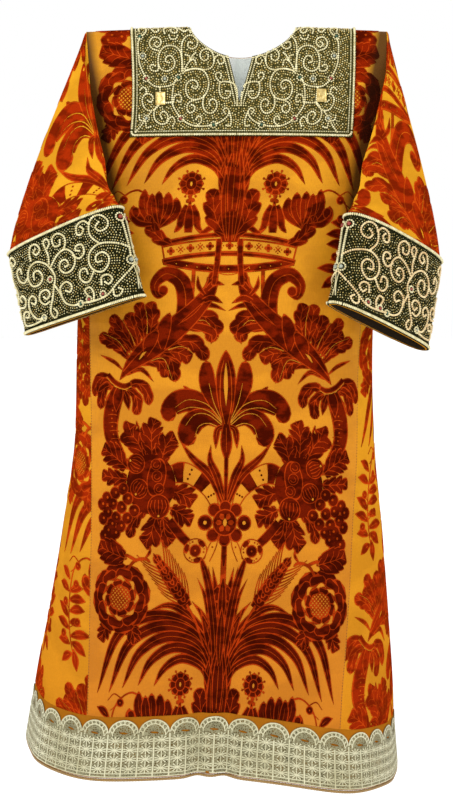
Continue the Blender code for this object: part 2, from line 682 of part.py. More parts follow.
def build_hem_cord(grid, normals, collection):
    """A cord along the very edge of the hem."""
    line = (grid[-1] - normals[-1] * VELVET_WALL / 2)[::HEM_CORD_STEP]
    line[:, 2] -= HEM_CORD_RADIUS + SEAM_GAP
    curve = bpy.data.curves.new("hem_cord", "CURVE")
    curve.dimensions = "3D"
    curve.bevel_depth = HEM_CORD_RADIUS
    curve.bevel_resolution = 1
    spline = curve.splines.new("POLY")
    spline.points.add(len(line) - 1)
    for point, place in zip(spline.points, line):
        point.co = (*place, 1.0)
    spline.use_cyclic_u = True
    curve.materials.append(material_named("cord"))
    collection.objects.link(bpy.data.objects.new("hem_cord", curve))


# ---------------------------------------------------------------- sleeves and cuffs

def armhole(side, panels, gore, gore_normals):
    """The armhole's loop from the shoulder tip down the front, under the arm and up the back: its points,
    the body's normals there, and the directions in which the body's surface would carry on."""
    edges = []
    for name, order in (("front_panel", 1), ("back_panel", -1)):
        points, _, normals, number = panels[name]
        edge = [number[(side, LAST_COLUMN, row)] for row in range(FIRST_SKIRT_ROW)][::order]
        before = [number[(side, LAST_COLUMN - 1, row)] for row in range(FIRST_SKIRT_ROW)][::order]
        edges.append((points[edge], normals[edge], unit(points[edge] - points[before])))
    under = gore[0, 1:-1], gore_normals[0, 1:-1], unit(gore[0, 1:-1] - gore[1, 1:-1])
    loop, normals, onward = (np.concatenate([front, middle, back[:-1]])
                             for front, middle, back in zip(edges[0], under, edges[1]))
    loop[0, 1] = 0
    for corner, gore_edge in ((FIRST_SKIRT_ROW - 1, 0), (FIRST_SKIRT_ROW + GORE_COLUMNS - 1, -1)):
        onward[corner] += 1.5 * unit(gore[0, gore_edge] - gore[1, gore_edge])
    return loop, unit(normals), unit(onward)


def loop_turns(loop):
    """The turn round the sleeve of each point of the armhole: 0 at the shoulder, pi under the arm."""
    lengths = lengths_along(loop, closed=True)[:-1]
    whole = lengths_along(loop, closed=True)[-1]
    under = lengths[len(loop) // 2]
    return np.where(lengths <= under, lengths / under, 1 + (lengths - under) / (whole - under)) * math.pi


def cuff_ring(side, edge, turns):
    """The points of the flattened ring at the cuff's top or bottom edge."""
    ends = {name: (np.array(CUFFS[side][name][0]), np.array(CUFFS[side][name][1])) for name in CUFFS[side]}
    outer, inner = ends[edge]
    axis = sum(ends["bottom"]) - sum(ends["top"])
    facing = unit(np.cross(axis, inner - outer))
    facing *= -np.sign(facing[1])
    power = 2 / CUFF_ROUNDNESS
    across, deep = (np.sign(v) * np.abs(v) ** power for v in (np.cos(turns), np.sin(turns)))
    half_depth = CUFFS[side][edge][2]
    return (outer + inner) / 2 + across[:, None] * (outer - inner) / 2 + deep[:, None] * half_depth * facing


def start_headings(side, turns, normals, onward, ahead):
    """(unit direction, reach) in which each line of the sleeve leaves the armhole."""
    front = soft_step((turns / math.pi - 0.06) / 0.25)
    back = soft_step((turns / math.pi - 1.0) / 0.4)
    lift = (front * (1 - back))[:, None]
    heading = unit(0.35 * onward + lift * normals + (1 - lift) * ahead)
    for _ in range(HEADING_EASINGS):
        heading = unit(np.roll(heading, 1, axis=0) + 2 * heading + np.roll(heading, -1, axis=0))
    places = (0.0, 0.35, 1.0, 1.6, 2.0)
    reach = [SLEEVE_REACH[name] for name in ("top", "front", "under", "back", "top")]
    return heading, np.interp(turns / math.pi, places, reach)[:, None]


def crest_at(side, along):
    """The fold's turn and its place at a share of the way to the cuff."""
    rows = np.array(CRESTS[side])
    values = [float(smooth_table(rows[:, 0], rows[:, k], max(along, rows[0, 0]))) for k in range(1, 5)]
    return values[0] * math.pi, np.array(values[1:])


def sleeve_rings(side, loop, normals, onward):
    """The sleeve's outer points in rings, from the armhole to the cuff's top edge, and the cuff's low edge."""
    turns = loop_turns(loop)
    top, low = cuff_ring(side, "top", turns), cuff_ring(side, "bottom", turns)
    heading, reach = start_headings(side, turns, normals, onward, unit(top - loop))
    start = loop + onward * SLEEVE_SEAM_GAP
    bend = start + heading * SLEEVE_FIRST_STEP
    arrive = unit(low - top) * np.linalg.norm(top - loop, axis=1, keepdims=True) * SLEEVE_CUFF_REACH
    rings = [start]
    around = np.append(turns, 2 * math.pi)
    for t in SLEEVE_ROWS:
        ring = ((2 * t ** 3 - 3 * t ** 2 + 1) * bend + (t ** 3 - 2 * t ** 2 + t) * reach * heading
                + (3 * t ** 2 - 2 * t ** 3) * top + (t ** 3 - t ** 2) * arrive)
        turn, place = crest_at(side, t)
        closed = np.concatenate([ring, ring[:1]])
        there = np.array([np.interp(turn, around, closed[:, k]) for k in range(3)])
        spread = np.where(turns < turn, *CREST_SPREAD) * math.pi
        near = np.exp(-np.abs((turns - turn) / spread) ** 3)
        near *= soft_step(t / CREST_START) * soft_step((1 - t) / CREST_END)
        ring = ring + near[:, None] * (place - there)
        under = np.exp(-((turns / math.pi - UNDERARM_BULGE_TURN) / UNDERARM_BULGE_SPREAD) ** 2)
        rings.append(ring + under[:, None] * (side * UNDERARM_BULGE * math.sin(math.pi * t), 0, 0))
    return eased(np.array(rings)), low


def eased(rings):
    """Rings of points evened out between the first two and the last."""
    for _ in range(SLEEVE_EASINGS):
        around = np.roll(rings, 1, axis=1) + np.roll(rings, -1, axis=1)
        rings[2:-1] = (rings[1:-2] + rings[3:] + around[2:-1] + 2 * rings[2:-1]) / 6
    return rings


def build_sleeves(panels, skirt, normals_of, collection):
    for side, name in ((-1, "left"), (1, "right")):
        gore = "gore_" + name
        loop, body_normals, onward = armhole(side, panels, skirt[gore], normals_of[gore])
        rings, low = sleeve_rings(side, loop, body_normals, onward)
        top = rings[-1]
        grid = np.concatenate([rings, [top + f * (low - top) for f in SLEEVE_CUFF_ROWS]])
        triangles = sided_triangles(grid, side, closed=True)
        outer = grid.reshape(-1, 3)
        facing = smooth_normals(outer, triangles)
        back = np.clip((facing[:len(loop)] * onward).sum(axis=1, keepdims=True), 0, None)
        facing[:len(loop)] = unit(facing[:len(loop)] - back * onward)   # keeps the first ring off the panels
        inner = outer - VELVET_WALL * mitred(outer, triangles, facing)
        wall("sleeve_" + name, outer, inner, triangles, "velvet", collection)
        build_cuff(name, side, top, low, facing.reshape(grid.shape)[-1 - len(SLEEVE_CUFF_ROWS):], collection)


def build_cuff(name, side, top, low, sleeve_facing, collection):
    """The embroidered cuff over the sleeve's end, with a raised cord along both edges."""
    grid = np.array([top + f * (low - top) for f in CUFF_ROWS])
    triangles = sided_triangles(grid, side, closed=True)
    known = np.array((0.0,) + SLEEVE_CUFF_ROWS)
    facing = np.empty_like(grid)
    for row, f in enumerate(CUFF_ROWS):
        i = min(int(np.searchsorted(known, f, side="right")) - 1, len(known) - 2)
        t = (f - known[i]) / (known[i + 1] - known[i])
        facing[row] = sleeve_facing[i] + t * (sleeve_facing[i + 1] - sleeve_facing[i])
    base = grid.reshape(-1, 3)
    facing = mitred(base, triangles, unit(facing).reshape(-1, 3))
    stand = np.full(grid.shape[:2], CUFF_WALL)
    stand[:CUFF_RIM_ROWS] += CUFF_RIM
    stand[-CUFF_RIM_ROWS:] += CUFF_RIM
    inner = base + facing * LAY_GAP
    outer = inner + facing * stand.reshape(-1, 1)
    wall("cuff_" + name, outer, inner, triangles, "pearl", collection)


# ---------------------------------------------------------------- plaques on the collar

# share is across the front panel, from its middle to its seam.
PLAQUE_COLUMNS = ("name", "share", "drop")
PLAQUES = (
    ("plaque_left", -0.525, 0.136),
    ("plaque_right", 0.560, 0.130),
)


def build_plaques(collection):
    """Two small gold plaques sewn to the collar's front, one on each side of the slit."""
    nudge = 0.01
    for name, share, drop in PLAQUES:
        run = run_of_drop(drop)
        across = unit(panel_point(-1, share + nudge, run) - panel_point(-1, share - nudge, run))
        down = unit(panel_point(-1, share, run + nudge) - panel_point(-1, share, run - nudge))
        facing = unit(np.cross(down, across))
        up = np.cross(facing, across)
        if up[2] < 0:
            up = -up
        stand = LAY_GAP + COLLAR_WALL + PLAQUE_STAND + PLAQUE[1] / 2
        place = panel_point(-1, share, run) + facing * stand
        turned = mathutils.Matrix(np.stack([across, np.cross(up, across), up], axis=1).tolist()).to_4x4()
        mesh = bpy.data.meshes.new(name)
        shape = bmesh.new()
        bmesh.ops.create_cube(shape, size=1.0)
        bmesh.ops.scale(shape, vec=PLAQUE, verts=shape.verts)
        shape.to_mesh(mesh)
        shape.free()
        mesh.materials.append(material_named("gold"))
        made = bpy.data.objects.new(name, mesh)
        made.matrix_world = mathutils.Matrix.Translation(place.tolist()) @ turned
        bevel = made.modifiers.new("soft edge", "BEVEL")
        bevel.width = 0.0008
        bevel.segments = 1
        collection.objects.link(made)


# ---------------------------------------------------------------- the garment

def main():
    for old in list(bpy.data.objects):
        bpy.data.objects.remove(old)
    garment = bpy.data.collections.new("dalmatic")
    bpy.context.scene.collection.children.link(garment)

    pieces = ("front_panel", "gore_right", "back_panel", "gore_left")
    skirt = {piece: skirt_rows(piece, (0.0,) + SKIRT_ROWS) for piece in pieces}
    normals_of = skirt_normals(skirt)
    panels = {name: panel_mesh(face, skirt[name], normals_of[name])
              for name, face in (("front_panel", -1), ("back_panel", 1))}

    build_panels(panels, garment)
    build_gores(skirt, normals_of, garment)
    build_sleeves(panels, skirt, normals_of, garment)
    build_collar(panels, garment)
    build_neck_lining(panels["back_panel"], garment)
    band, band_normals = build_hem_band(garment)
    build_lace(band, band_normals, garment)
    build_hem_cord(band, band_normals, garment)
    build_plaques(garment)


main()
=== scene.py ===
"""The looks of the dalmatic: figured velvet, pearl embroidery, metal lace, and the studio around it.

Metres, +Z up, the front looks along -Y, and "left" is the -X side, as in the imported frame. The cloth's
surfaces are worked out here from the same sizes as the CAD part, on finer grids, and each has a flat chart
in millimetres on which its figure is drawn. A level is a drop below the shoulder line.
"""

import math

import bpy
import numpy as np
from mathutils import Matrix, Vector
from mathutils.bvhtree import BVHTree
from mathutils.geometry import delaunay_2d_cdt

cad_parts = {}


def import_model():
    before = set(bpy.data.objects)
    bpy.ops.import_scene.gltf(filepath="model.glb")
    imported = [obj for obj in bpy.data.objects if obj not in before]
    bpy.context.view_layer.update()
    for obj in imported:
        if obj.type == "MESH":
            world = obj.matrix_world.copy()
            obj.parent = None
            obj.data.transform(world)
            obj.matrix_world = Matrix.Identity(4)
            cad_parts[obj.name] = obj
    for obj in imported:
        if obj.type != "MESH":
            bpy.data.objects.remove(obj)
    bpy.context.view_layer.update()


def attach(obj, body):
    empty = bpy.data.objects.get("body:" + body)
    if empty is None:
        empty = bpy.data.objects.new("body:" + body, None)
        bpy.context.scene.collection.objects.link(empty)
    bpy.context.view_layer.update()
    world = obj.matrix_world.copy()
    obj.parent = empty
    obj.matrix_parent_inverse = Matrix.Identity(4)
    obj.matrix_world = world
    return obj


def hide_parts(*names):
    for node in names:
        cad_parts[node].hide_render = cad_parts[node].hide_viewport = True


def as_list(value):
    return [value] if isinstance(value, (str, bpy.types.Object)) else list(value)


MM = 0.001
LEFT, RIGHT = -1, 1
FRONT, BACK = -1, 1

# ---------------------------------------------------------------- the garment's sizes, in metres

VELVET_WALL = 0.002
SEAM_GAP = 0.0004
LAY_GAP = 0.0006
COLLAR_WALL = 0.002
CUFF_WALL = 0.002

SHOULDER_RADIUS = 0.024
SHOULDER_TURN = math.radians(70)
SHOULDER_RISE = 0.008
SHOULDER_RISE_POWER = 1.5
YOKE_FLATTENING = 0.22          # how much of its depth a panel loses at its seams, above the chest
SHOULDER_RUN = SHOULDER_RADIUS * SHOULDER_TURN
SHOULDER_DROP = SHOULDER_RADIUS * (1 - math.cos(SHOULDER_TURN))
TOP_LEVEL = SHOULDER_DROP - SHOULDER_RUN        # the shoulder line's own level, in cloth lengths

NECK_HALF_WIDTH = {LEFT: 0.0955, RIGHT: 0.1064}
NECK_DROP = {FRONT: 0.061, BACK: 0.052}
NECK_POWER = 0.75
SLIT_HALF_WIDTH = 0.0225
SLIT_END_DROP = 0.142
COLLAR_HALF_WIDTH = {LEFT: 0.2086, RIGHT: 0.2191}
COLLAR_DROP = 0.2055
UNDERARM_DROP = 0.290
HEM_DROP = 1.380
BAND_HEIGHT = 0.110

SECTION_COLUMNS = ("drop", "centre", "half_width", "front_depth", "back_depth", "roundness",
                   "seam_left", "seam_right")
SECTIONS = (
    (0.000, 0.000, 0.300, 0.0226, 0.0226, 2.60, 0.2915, 0.2780),
    (0.016, 0.000, 0.300, 0.0226, 0.0226, 2.60, 0.2900, 0.2775),
    (0.060, 0.000, 0.298, 0.0400, 0.0380, 2.60, 0.2860, 0.2755),
    (0.140, -0.002, 0.294, 0.0640, 0.0600, 2.55, 0.2790, 0.2725),
    (0.210, -0.007, 0.290, 0.0840, 0.0780, 2.50, 0.2740, 0.2700),
    (0.290, -0.015, 0.286, 0.1040, 0.0960, 2.45, 0.2690, 0.2670),
    (0.450, -0.025, 0.283, 0.1320, 0.1220, 2.40, 0.2610, 0.2600),
    (0.650, -0.030, 0.285, 0.1500, 0.1400, 2.35, 0.2530, 0.2520),
    (0.780, -0.029, 0.290, 0.1640, 0.1540, 2.30, 0.2520, 0.2490),
    (0.900, -0.031, 0.305, 0.1800, 0.1720, 2.25, 0.2490, 0.2420),
    (1.000, -0.034, 0.317, 0.1950, 0.1880, 2.20, 0.2470, 0.2390),
    (1.120, -0.039, 0.332, 0.2120, 0.2060, 2.15, 0.2430, 0.2350),
    (1.220, -0.045, 0.345, 0.2270, 0.2200, 2.15, 0.2380, 0.2320),
    (1.300, -0.050, 0.353, 0.2390, 0.2310, 2.15, 0.2350, 0.2320),
    (1.390, -0.054, 0.364, 0.2520, 0.2420, 2.15, 0.2310, 0.2310),
)

# Each fold: its angle round the body, its half angle, its depth, the drop where it starts and how it grows.
FOLDS = (
    (-34.0, 17.0, 0.010, 0.55, 1.3),
    (-1.0, 13.0, -0.012, 0.75, 1.2),
    (-3.6, 3.2, -0.018, 1.08, 1.6),
    (3.0, 3.2, -0.018, 1.08, 1.6),
    (41.0, 20.0, 0.022, 0.50, 1.2),
    (-78.0, 12.0, -0.005, 0.70, 1.2),
    (-100.0, 10.0, 0.012, 0.60, 1.2),
    (80.0, 11.0, -0.004, 0.75, 1.2),
    (104.0, 12.0, 0.011, 0.65, 1.2),
    (128.0, 12.0, -0.014, 0.55, 1.2),
    (150.0, 13.0, 0.016, 0.50, 1.2),
    (176.0, 12.0, -0.015, 0.60, 1.2),
    (-156.0, 13.0, 0.015, 0.50, 1.2),
    (-131.0, 12.0, -0.013, 0.60, 1.2),
)

FOLD_SHARPNESS = 1.6
# How far the hem hangs below or above HEM_DROP at angles round the body.
HEM_LINE = ((-180.0, 0.014), (-135.0, 0.004), (-90.0, -0.006), (-45.0, 0.003), (0.0, -0.010),
            (45.0, 0.030), (80.0, 0.046), (135.0, 0.032), (180.0, 0.014))

# The outer and the inner corner of each cuff's edges, and the edge's half depth.
CUFFS = {
    LEFT: {
        "top": ((-0.4310, -0.058, -0.4220), (-0.2215, -0.172, -0.3370), 0.033),
        "bottom": ((-0.3940, -0.100, -0.5730), (-0.1780, -0.214, -0.5020), 0.037),
    },
    RIGHT: {
        "top": ((0.3730, -0.044, -0.4370), (0.1975, -0.172, -0.3500), 0.034),
        "bottom": ((0.3420, -0.096, -0.6020), (0.1640, -0.222, -0.5140), 0.038),
    },
}
CUFF_ROUNDNESS = 2.5

# The fold along each sleeve: the share of the way to the cuff, the turn round the sleeve, and x, y, z.
CRESTS = {
    LEFT: (
        (0.15, 0.28, -0.276, -0.088, -0.090),
        (0.30, 0.40, -0.259, -0.118, -0.160),
        (0.50, 0.56, -0.238, -0.151, -0.250),
        (0.75, 0.78, -0.226, -0.168, -0.312),
        (1.00, 1.00, -0.2215, -0.172, -0.3370),
    ),
    RIGHT: (
        (0.15, 0.28, 0.260, -0.088, -0.090),
        (0.30, 0.40, 0.242, -0.118, -0.160),
        (0.50, 0.56, 0.212, -0.153, -0.250),
        (0.75, 0.78, 0.199, -0.169, -0.315),
        (1.00, 1.00, 0.1975, -0.172, -0.3500),
    ),
}
CREST_SPREAD = (0.29, 0.22)
CREST_START = 0.22
CREST_END = 0.12
SLEEVE_SEAM_GAP = 0.0006
SLEEVE_FIRST_STEP = 0.006
SLEEVE_EASINGS = 3
SLEEVE_REACH = ((0.0, 0.10), (0.35, 0.10), (1.0, 0.15), (1.6, 0.10), (2.0, 0.10))
SLEEVE_CUFF_REACH = 0.3
HEADING_EASINGS = 2
# Where the cloth leaves the body and where it lies on it again, in half turns, and over how much.
HEADING_LIFT = (0.06, 0.25)
HEADING_FALL = (1.0, 0.4)
HEADING_ONWARD = 0.35
UNDERARM_BULGE = 0.032
UNDERARM_BULGE_TURN = 1.14
UNDERARM_BULGE_SPREAD = 0.26
SLEEVE_ROWS = (0.0, 0.07, 0.15, 0.25, 0.36, 0.47, 0.58, 0.69, 0.79, 0.88, 0.95, 1.0)
ARMHOLE_POINTS = 13             # of each panel's edge in the armhole's loop
GORE_COLUMNS = 10
SECTION_POINTS = 721


# ---------------------------------------------------------------- tables and vectors

def smooth_table(places, values, at):
    """The values between a table's rows, on a curve that never overshoots them."""
    places, values, at = (np.asarray(given, float) for given in (places, values, at))
    step = np.diff(places)
    slope = np.diff(values) / step
    same_way = slope[:-1] * slope[1:] > 0
    before, after = 2 * step[1:] + step[:-1], step[1:] + 2 * step[:-1]
    first, second = (np.where(same_way, part, 1) for part in (slope[:-1], slope[1:]))
    bend = np.zeros(len(places))
    bend[1:-1] = np.where(same_way, 3 * (step[:-1] + step[1:]) / (before / first + after / second), 0)
    bend[0], bend[-1] = slope[0], slope[-1]
    i = np.clip(np.searchsorted(places, at) - 1, 0, len(step) - 1)
    t = (np.clip(at, places[0], places[-1]) - places[i]) / step[i]
    return (values[i] * (1 + 2 * t) * (1 - t) ** 2 + bend[i] * step[i] * t * (1 - t) ** 2
            + values[i + 1] * t * t * (3 - 2 * t) + bend[i + 1] * step[i] * t * t * (t - 1))


def soft_step(t):
    t = np.clip(t, 0.0, 1.0)
    return t * t * (3 - 2 * t)


def unit(vectors):
    return vectors / np.maximum(np.linalg.norm(vectors, axis=-1, keepdims=True), 1e-12)


def lengths_along(line, closed=False):
    """The length along a line of points up to each of them, and back to the first if it is closed."""
    line = np.concatenate([line, line[:1]]) if closed else line
    return np.concatenate([[0], np.cumsum(np.linalg.norm(np.diff(line, axis=0), axis=1))])


def along_line(line, at, lengths):
    return np.stack([np.interp(at, lengths, line[:, k]) for k in range(line.shape[1])], axis=1)


def across_line(line):
    """Unit directions to the side of a flat line at each of its points."""
    return unit(np.stack([-np.gradient(line[:, 1]), np.gradient(line[:, 0])], axis=1))


def circle(count, closed=False):
    """Points at even steps round a unit circle, with the first one again at the end if it is closed."""
    angle = np.arange(count + closed) / count * 2 * math.pi
    return np.stack([np.cos(angle), np.sin(angle)], axis=1)


def grid_corners(index):
    """The four corners of each cell of a grid of point numbers, in order round the cell."""
    return (part.ravel() for part in (index[:-1, :-1], index[:-1, 1:], index[1:, 1:], index[1:, :-1]))


def catmull(points, per_span, closed=False):
    """A smooth curve through points, with a number of steps for each span."""
    points = np.asarray(points, float)
    if closed:
        padded = np.concatenate([points[-1:], points, points[:2]])
        spans = len(points)
    else:
        first = 2 * points[:1] - points[1:2]
        last = 2 * points[-1:] - points[-2:-1]
        padded = np.concatenate([first, points, last])
        spans = len(points) - 1
    t = (np.arange(per_span) / per_span).reshape((1, -1) + (1,) * (points.ndim - 1))
    a, b, c, d = (padded[k:k + spans][:, None] for k in range(4))
    made = 0.5 * (2 * b + (c - a) * t + (2 * a - 5 * b + 4 * c - d) * t ** 2
                  + (3 * b - a - 3 * c + d) * t ** 3)
    made = made.reshape((-1,) + points.shape[1:])
    return made if closed else np.concatenate([made, points[-1:]])


# ---------------------------------------------------------------- the body's sections

def section_at(drop):
    rows = np.array(SECTIONS)
    return {name: float(smooth_table(rows[:, 0], rows[:, column], drop))
            for column, name in enumerate(SECTION_COLUMNS) if column}


def seam_of(size, side):
    return size["seam_left"] if side < 0 else size["seam_right"]


def fold_depth(angle, drop):
    """How far the folds move the cloth outwards at angles round the body, in degrees."""
    moved = np.zeros_like(angle)
    for middle, half_angle, depth, start, growth in FOLDS:
        away = (angle - middle + 180.0) % 360.0 - 180.0
        grown = soft_step((drop - start) / (HEM_DROP - start)) ** growth
        moved += depth * grown * np.exp(-FOLD_SHARPNESS * (away / half_angle) ** 2)
    return moved


def hem_drop(angle):
    angle = (np.asarray(angle, float) + 180.0) % 360.0 - 180.0
    return HEM_DROP + smooth_table(*zip(*HEM_LINE), angle)


def outline(drop):
    """The fine outline of a section as rows of x, y and the angle round it, from back to back."""
    size = section_at(drop)
    turn = np.linspace(-math.pi, math.pi, SECTION_POINTS)
    power = 2 / size["roundness"]
    across = np.sign(np.sin(turn)) * np.abs(np.sin(turn)) ** power
    along = np.abs(np.cos(turn)) ** power
    x = size["centre"] + size["half_width"] * across
    y = np.where(np.abs(turn) <= math.pi / 2, -size["front_depth"] * along, size["back_depth"] * along)
    angle = np.degrees(turn)
    ahead = unit(np.stack([np.gradient(x), np.gradient(y)], axis=1))
    moved = fold_depth(angle, drop)
    return np.stack([x + moved * ahead[:, 1], y - moved * ahead[:, 0], angle], axis=1)


def yoke_curve(face, drop, size):
    """The outline of a panel above the underarm, where the cloth is flatter."""
    low, high = size["centre"] - size["seam_left"], size["centre"] + size["seam_right"]
    x = np.linspace(low, high, SECTION_POINTS)
    share = np.clip(np.abs(x - size["centre"]) / size["half_width"], 0, 0.999)
    arch = (1 - share ** size["roundness"]) ** (1 / size["roundness"])
    flat = 1 - YOKE_FLATTENING * share ** 3
    rounded = soft_step(drop / UNDERARM_DROP)
    y = face * (flat + rounded * (arch - flat)) * size["front_depth" if face < 0 else "back_depth"]
    return np.stack([x, y, np.degrees(np.arctan2(x - size["centre"], -y))], axis=1)


def panel_curve(face, drop):
    """The fine outline of the front or back panel from its left to its right seam."""
    size = section_at(drop)
    if drop < UNDERARM_DROP:
        return yoke_curve(face, drop, size)
    line = outline(drop)
    if face > 0:
        middle = SECTION_POINTS // 2
        line = np.concatenate([line[middle:-1], line[:middle + 1]])[::-1]
    x = line[:, 0]
    low, high = size["centre"] - size["seam_left"], size["centre"] + size["seam_right"]
    inside = np.flatnonzero((line[:, 1] * face > 0) & (x > low) & (x < high))
    first, last = inside[0], inside[-1]
    start = line[first] + (low - x[first]) / (x[first - 1] - x[first]) * (line[first - 1] - line[first])
    end = line[last] + (high - x[last]) / (x[last + 1] - x[last]) * (line[last + 1] - line[last])
    return np.concatenate([[start], line[inside], [end]])


def gore_curve(side, drop):
    """The fine outline of a side gore, from its seam on the front to its seam on the back."""
    line = outline(drop)
    end = -1 if side > 0 else 0
    front, back = panel_curve(FRONT, drop)[end], panel_curve(BACK, drop)[end]
    turned = side * line[:, 2]
    between = line[(turned > side * front[2]) & (turned < side * back[2])]
    return np.concatenate([[front], between if side > 0 else between[::-1], [back]])


def at_shares(line, centre, shares):
    """Points of a panel's outline at shares from its middle to its seams, -1 to 1."""
    lengths = lengths_along(line[:, :2])
    middle = np.interp(centre, line[:, 0], lengths)
    return along_line(line, middle + shares * np.where(shares > 0, lengths[-1] - middle, middle), lengths)


def run_of_drop(drop):
    """The cloth's length from the shoulder line down to a level."""
    drop = np.asarray(drop, float)
    bent = SHOULDER_RADIUS * np.arccos(np.clip(1 - drop / SHOULDER_RADIUS, -1, 1))
    return np.where(drop < SHOULDER_DROP, bent, SHOULDER_RUN + drop - SHOULDER_DROP)


def skirt_z(points, drop):
    """The height of points of a row below the underarm, which runs with the slanting hem."""
    level = (drop - UNDERARM_DROP) / (HEM_DROP - BAND_HEIGHT - UNDERARM_DROP)
    return -(UNDERARM_DROP + level * (hem_drop(points[:, 2]) - BAND_HEIGHT - UNDERARM_DROP))


# ---------------------------------------------------------------- cloth with a flat chart

def grid_normals(grid, closed=False):
    """Unit normals of a grid: down its rows crossed with across its columns."""
    wide = np.concatenate([grid[:, -1:], grid, grid[:, :1]], axis=1) if closed else grid
    across = np.gradient(wide, axis=1)
    return unit(np.cross(np.gradient(grid, axis=0), across[:, 1:-1] if closed else across))


class Cloth:
    """A grid of points with normals and a flat chart in millimetres, u across and v down."""

    def __init__(self, points, chart, outward):
        self.points, self.chart = points, chart
        self.normals = grid_normals(points) * outward
        rows, columns = points.shape[:2]
        index = np.arange(rows * columns).reshape(rows, columns)
        a, b, c, d = grid_corners(index)
        self.triangles = np.concatenate([np.stack([a, d, c], axis=1), np.stack([a, c, b], axis=1)])
        flat = [(u, v, 0.0) for u, v in chart.reshape(-1, 2).tolist()]
        self.tree = BVHTree.FromPolygons(flat, self.triangles.tolist())

    def place(self, spots, lift):
        """(points, normals) of the cloth at chart spots, raised by lift in metres."""
        down = Vector((0.0, 0.0, -1.0))
        found = np.zeros(len(spots), int)
        held = np.array(spots, float)
        for i, (u, v) in enumerate(held.tolist()):
            _, _, face, _ = self.tree.ray_cast(Vector((u, v, 1.0)), down)
            if face is None:
                near, _, face, _ = self.tree.find_nearest(Vector((u, v, 0.0)))
                held[i] = near[:2]
            found[i] = face
        corner = self.triangles[found]
        chart = self.chart.reshape(-1, 2)
        a, b, c = (chart[corner[:, k]] for k in range(3))
        whole = cross_2d(b - a, c - a)
        second = cross_2d(held - a, c - a) / whole
        third = cross_2d(b - a, held - a) / whole
        weights = np.stack([1 - second - third, second, third], axis=1)[:, :, None]
        points = (self.points.reshape(-1, 3)[corner] * weights).sum(axis=1)
        normals = unit((self.normals.reshape(-1, 3)[corner] * weights).sum(axis=1))
        return points + normals * np.reshape(lift, (-1, 1)), normals


def cross_2d(a, b):
    return a[:, 0] * b[:, 1] - a[:, 1] * b[:, 0]


PANEL_HALF_CHART = 285.0        # a panel's half width on its chart, in mm
PANEL_COLUMNS = 161
PANEL_STEP = 0.005
GORE_CLOTH_ROWS = 141
GORE_CLOTH_COLUMNS = 61


def panel_cloth(face):
    """The front or back panel from the shoulder line to the hem band, its neck not yet cut."""
    shares = np.linspace(-1, 1, PANEL_COLUMNS)
    end = HEM_DROP - BAND_HEIGHT
    levels = np.linspace(TOP_LEVEL, end, round(end / PANEL_STEP) + 1)
    rows = []
    for level in levels:
        if level < UNDERARM_DROP:
            run = level - TOP_LEVEL
            bent = run < SHOULDER_RUN
            turn = run / SHOULDER_RADIUS
            drop = SHOULDER_RADIUS * (1 - math.cos(turn)) if bent else level
            size = section_at(drop)
            row = at_shares(panel_curve(face, drop), size["centre"], shares)
            row[:, 1] *= math.sin(turn) / math.sin(SHOULDER_TURN) if bent else 1.0
            risen = 1 - np.minimum(1, np.abs(row[:, 0]) / size["half_width"]) ** SHOULDER_RISE_POWER
            row[:, 2] = SHOULDER_RISE * (1 - soft_step(drop / UNDERARM_DROP)) * risen - drop
        else:
            row = at_shares(panel_curve(face, level), section_at(level)["centre"], shares)
            row[:, 2] = skirt_z(row, level)
        rows.append(row)
    u, v = np.meshgrid(shares * PANEL_HALF_CHART, levels / MM)
    return Cloth(np.array(rows), np.stack([u, v], axis=-1), -face)


def gore_cloth(side):
    """A side gore. Its chart's u is the true distance from its front seam."""
    levels = np.linspace(UNDERARM_DROP, HEM_DROP - BAND_HEIGHT, GORE_CLOTH_ROWS)
    rows, chart = [], []
    for level in levels:
        curve = gore_curve(side, level)
        lengths = lengths_along(curve[:, :2])
        at = np.linspace(0, lengths[-1], GORE_CLOTH_COLUMNS)
        row = along_line(curve, at, lengths)
        row[:, 2] = skirt_z(row, level)
        rows.append(row)
        chart.append(np.stack([side * at / MM, np.full(len(at), level / MM)], axis=1))
    return Cloth(np.array(rows), np.array(chart), side)


# ---------------------------------------------------------------- the velvet's figure, drawn on a chart

RIM, DEEP, VEIN, BARE = "rim", "deep", "vein", "bare"
DRAWN_STEP = 4.6                # along a drawn outline, in mm
LOBED_STEP = 2.8                # along a lobed one
DISC_STEP = 3.4                 # round a disc
LOBED_RIM = 1.8                 # the width of a lobed leaf's rim, and its veins' half widths
LOBE_VEIN = 0.825
MIDRIB = 0.935


def turned(points, degrees):
    c, s = math.cos(math.radians(degrees)), math.sin(math.radians(degrees))
    return np.asarray(points, float) @ np.array([[c, s], [-s, c]])


def direction(degrees):
    """The way at some degrees from straight up the cloth."""
    return turned([(0.0, -1.0)], degrees)[0]


def sideways(ahead):
    return np.array((-ahead[1], ahead[0]))


def spine_line(controls, step=DRAWN_STEP):
    """A smooth line through control points, evenly spaced."""
    line = catmull(controls, 8)
    lengths = lengths_along(line)
    return along_line(line, np.linspace(0, lengths[-1], max(4, round(lengths[-1] / step) + 1)), lengths)


def ribbon_outline(line, widths):
    """The closed outline of a band along a line, with its half width at each point."""
    across = across_line(line) * widths[:, None]
    return np.concatenate([line + across, (line - across)[::-1]])


def leaf_profile(t, fat, root, point):
    """A leaf's half width along it, 1 at its fattest place. point is 1 for a sharp tip and less for a
    round one."""
    rising = root + (1 - root) * np.sin(np.clip(t / fat, 0, 1) * math.pi / 2)
    falling = np.cos(np.clip((t - fat) / (1 - fat), 0, 1) * math.pi / 2) ** point
    return np.where(t < fat, rising, falling)


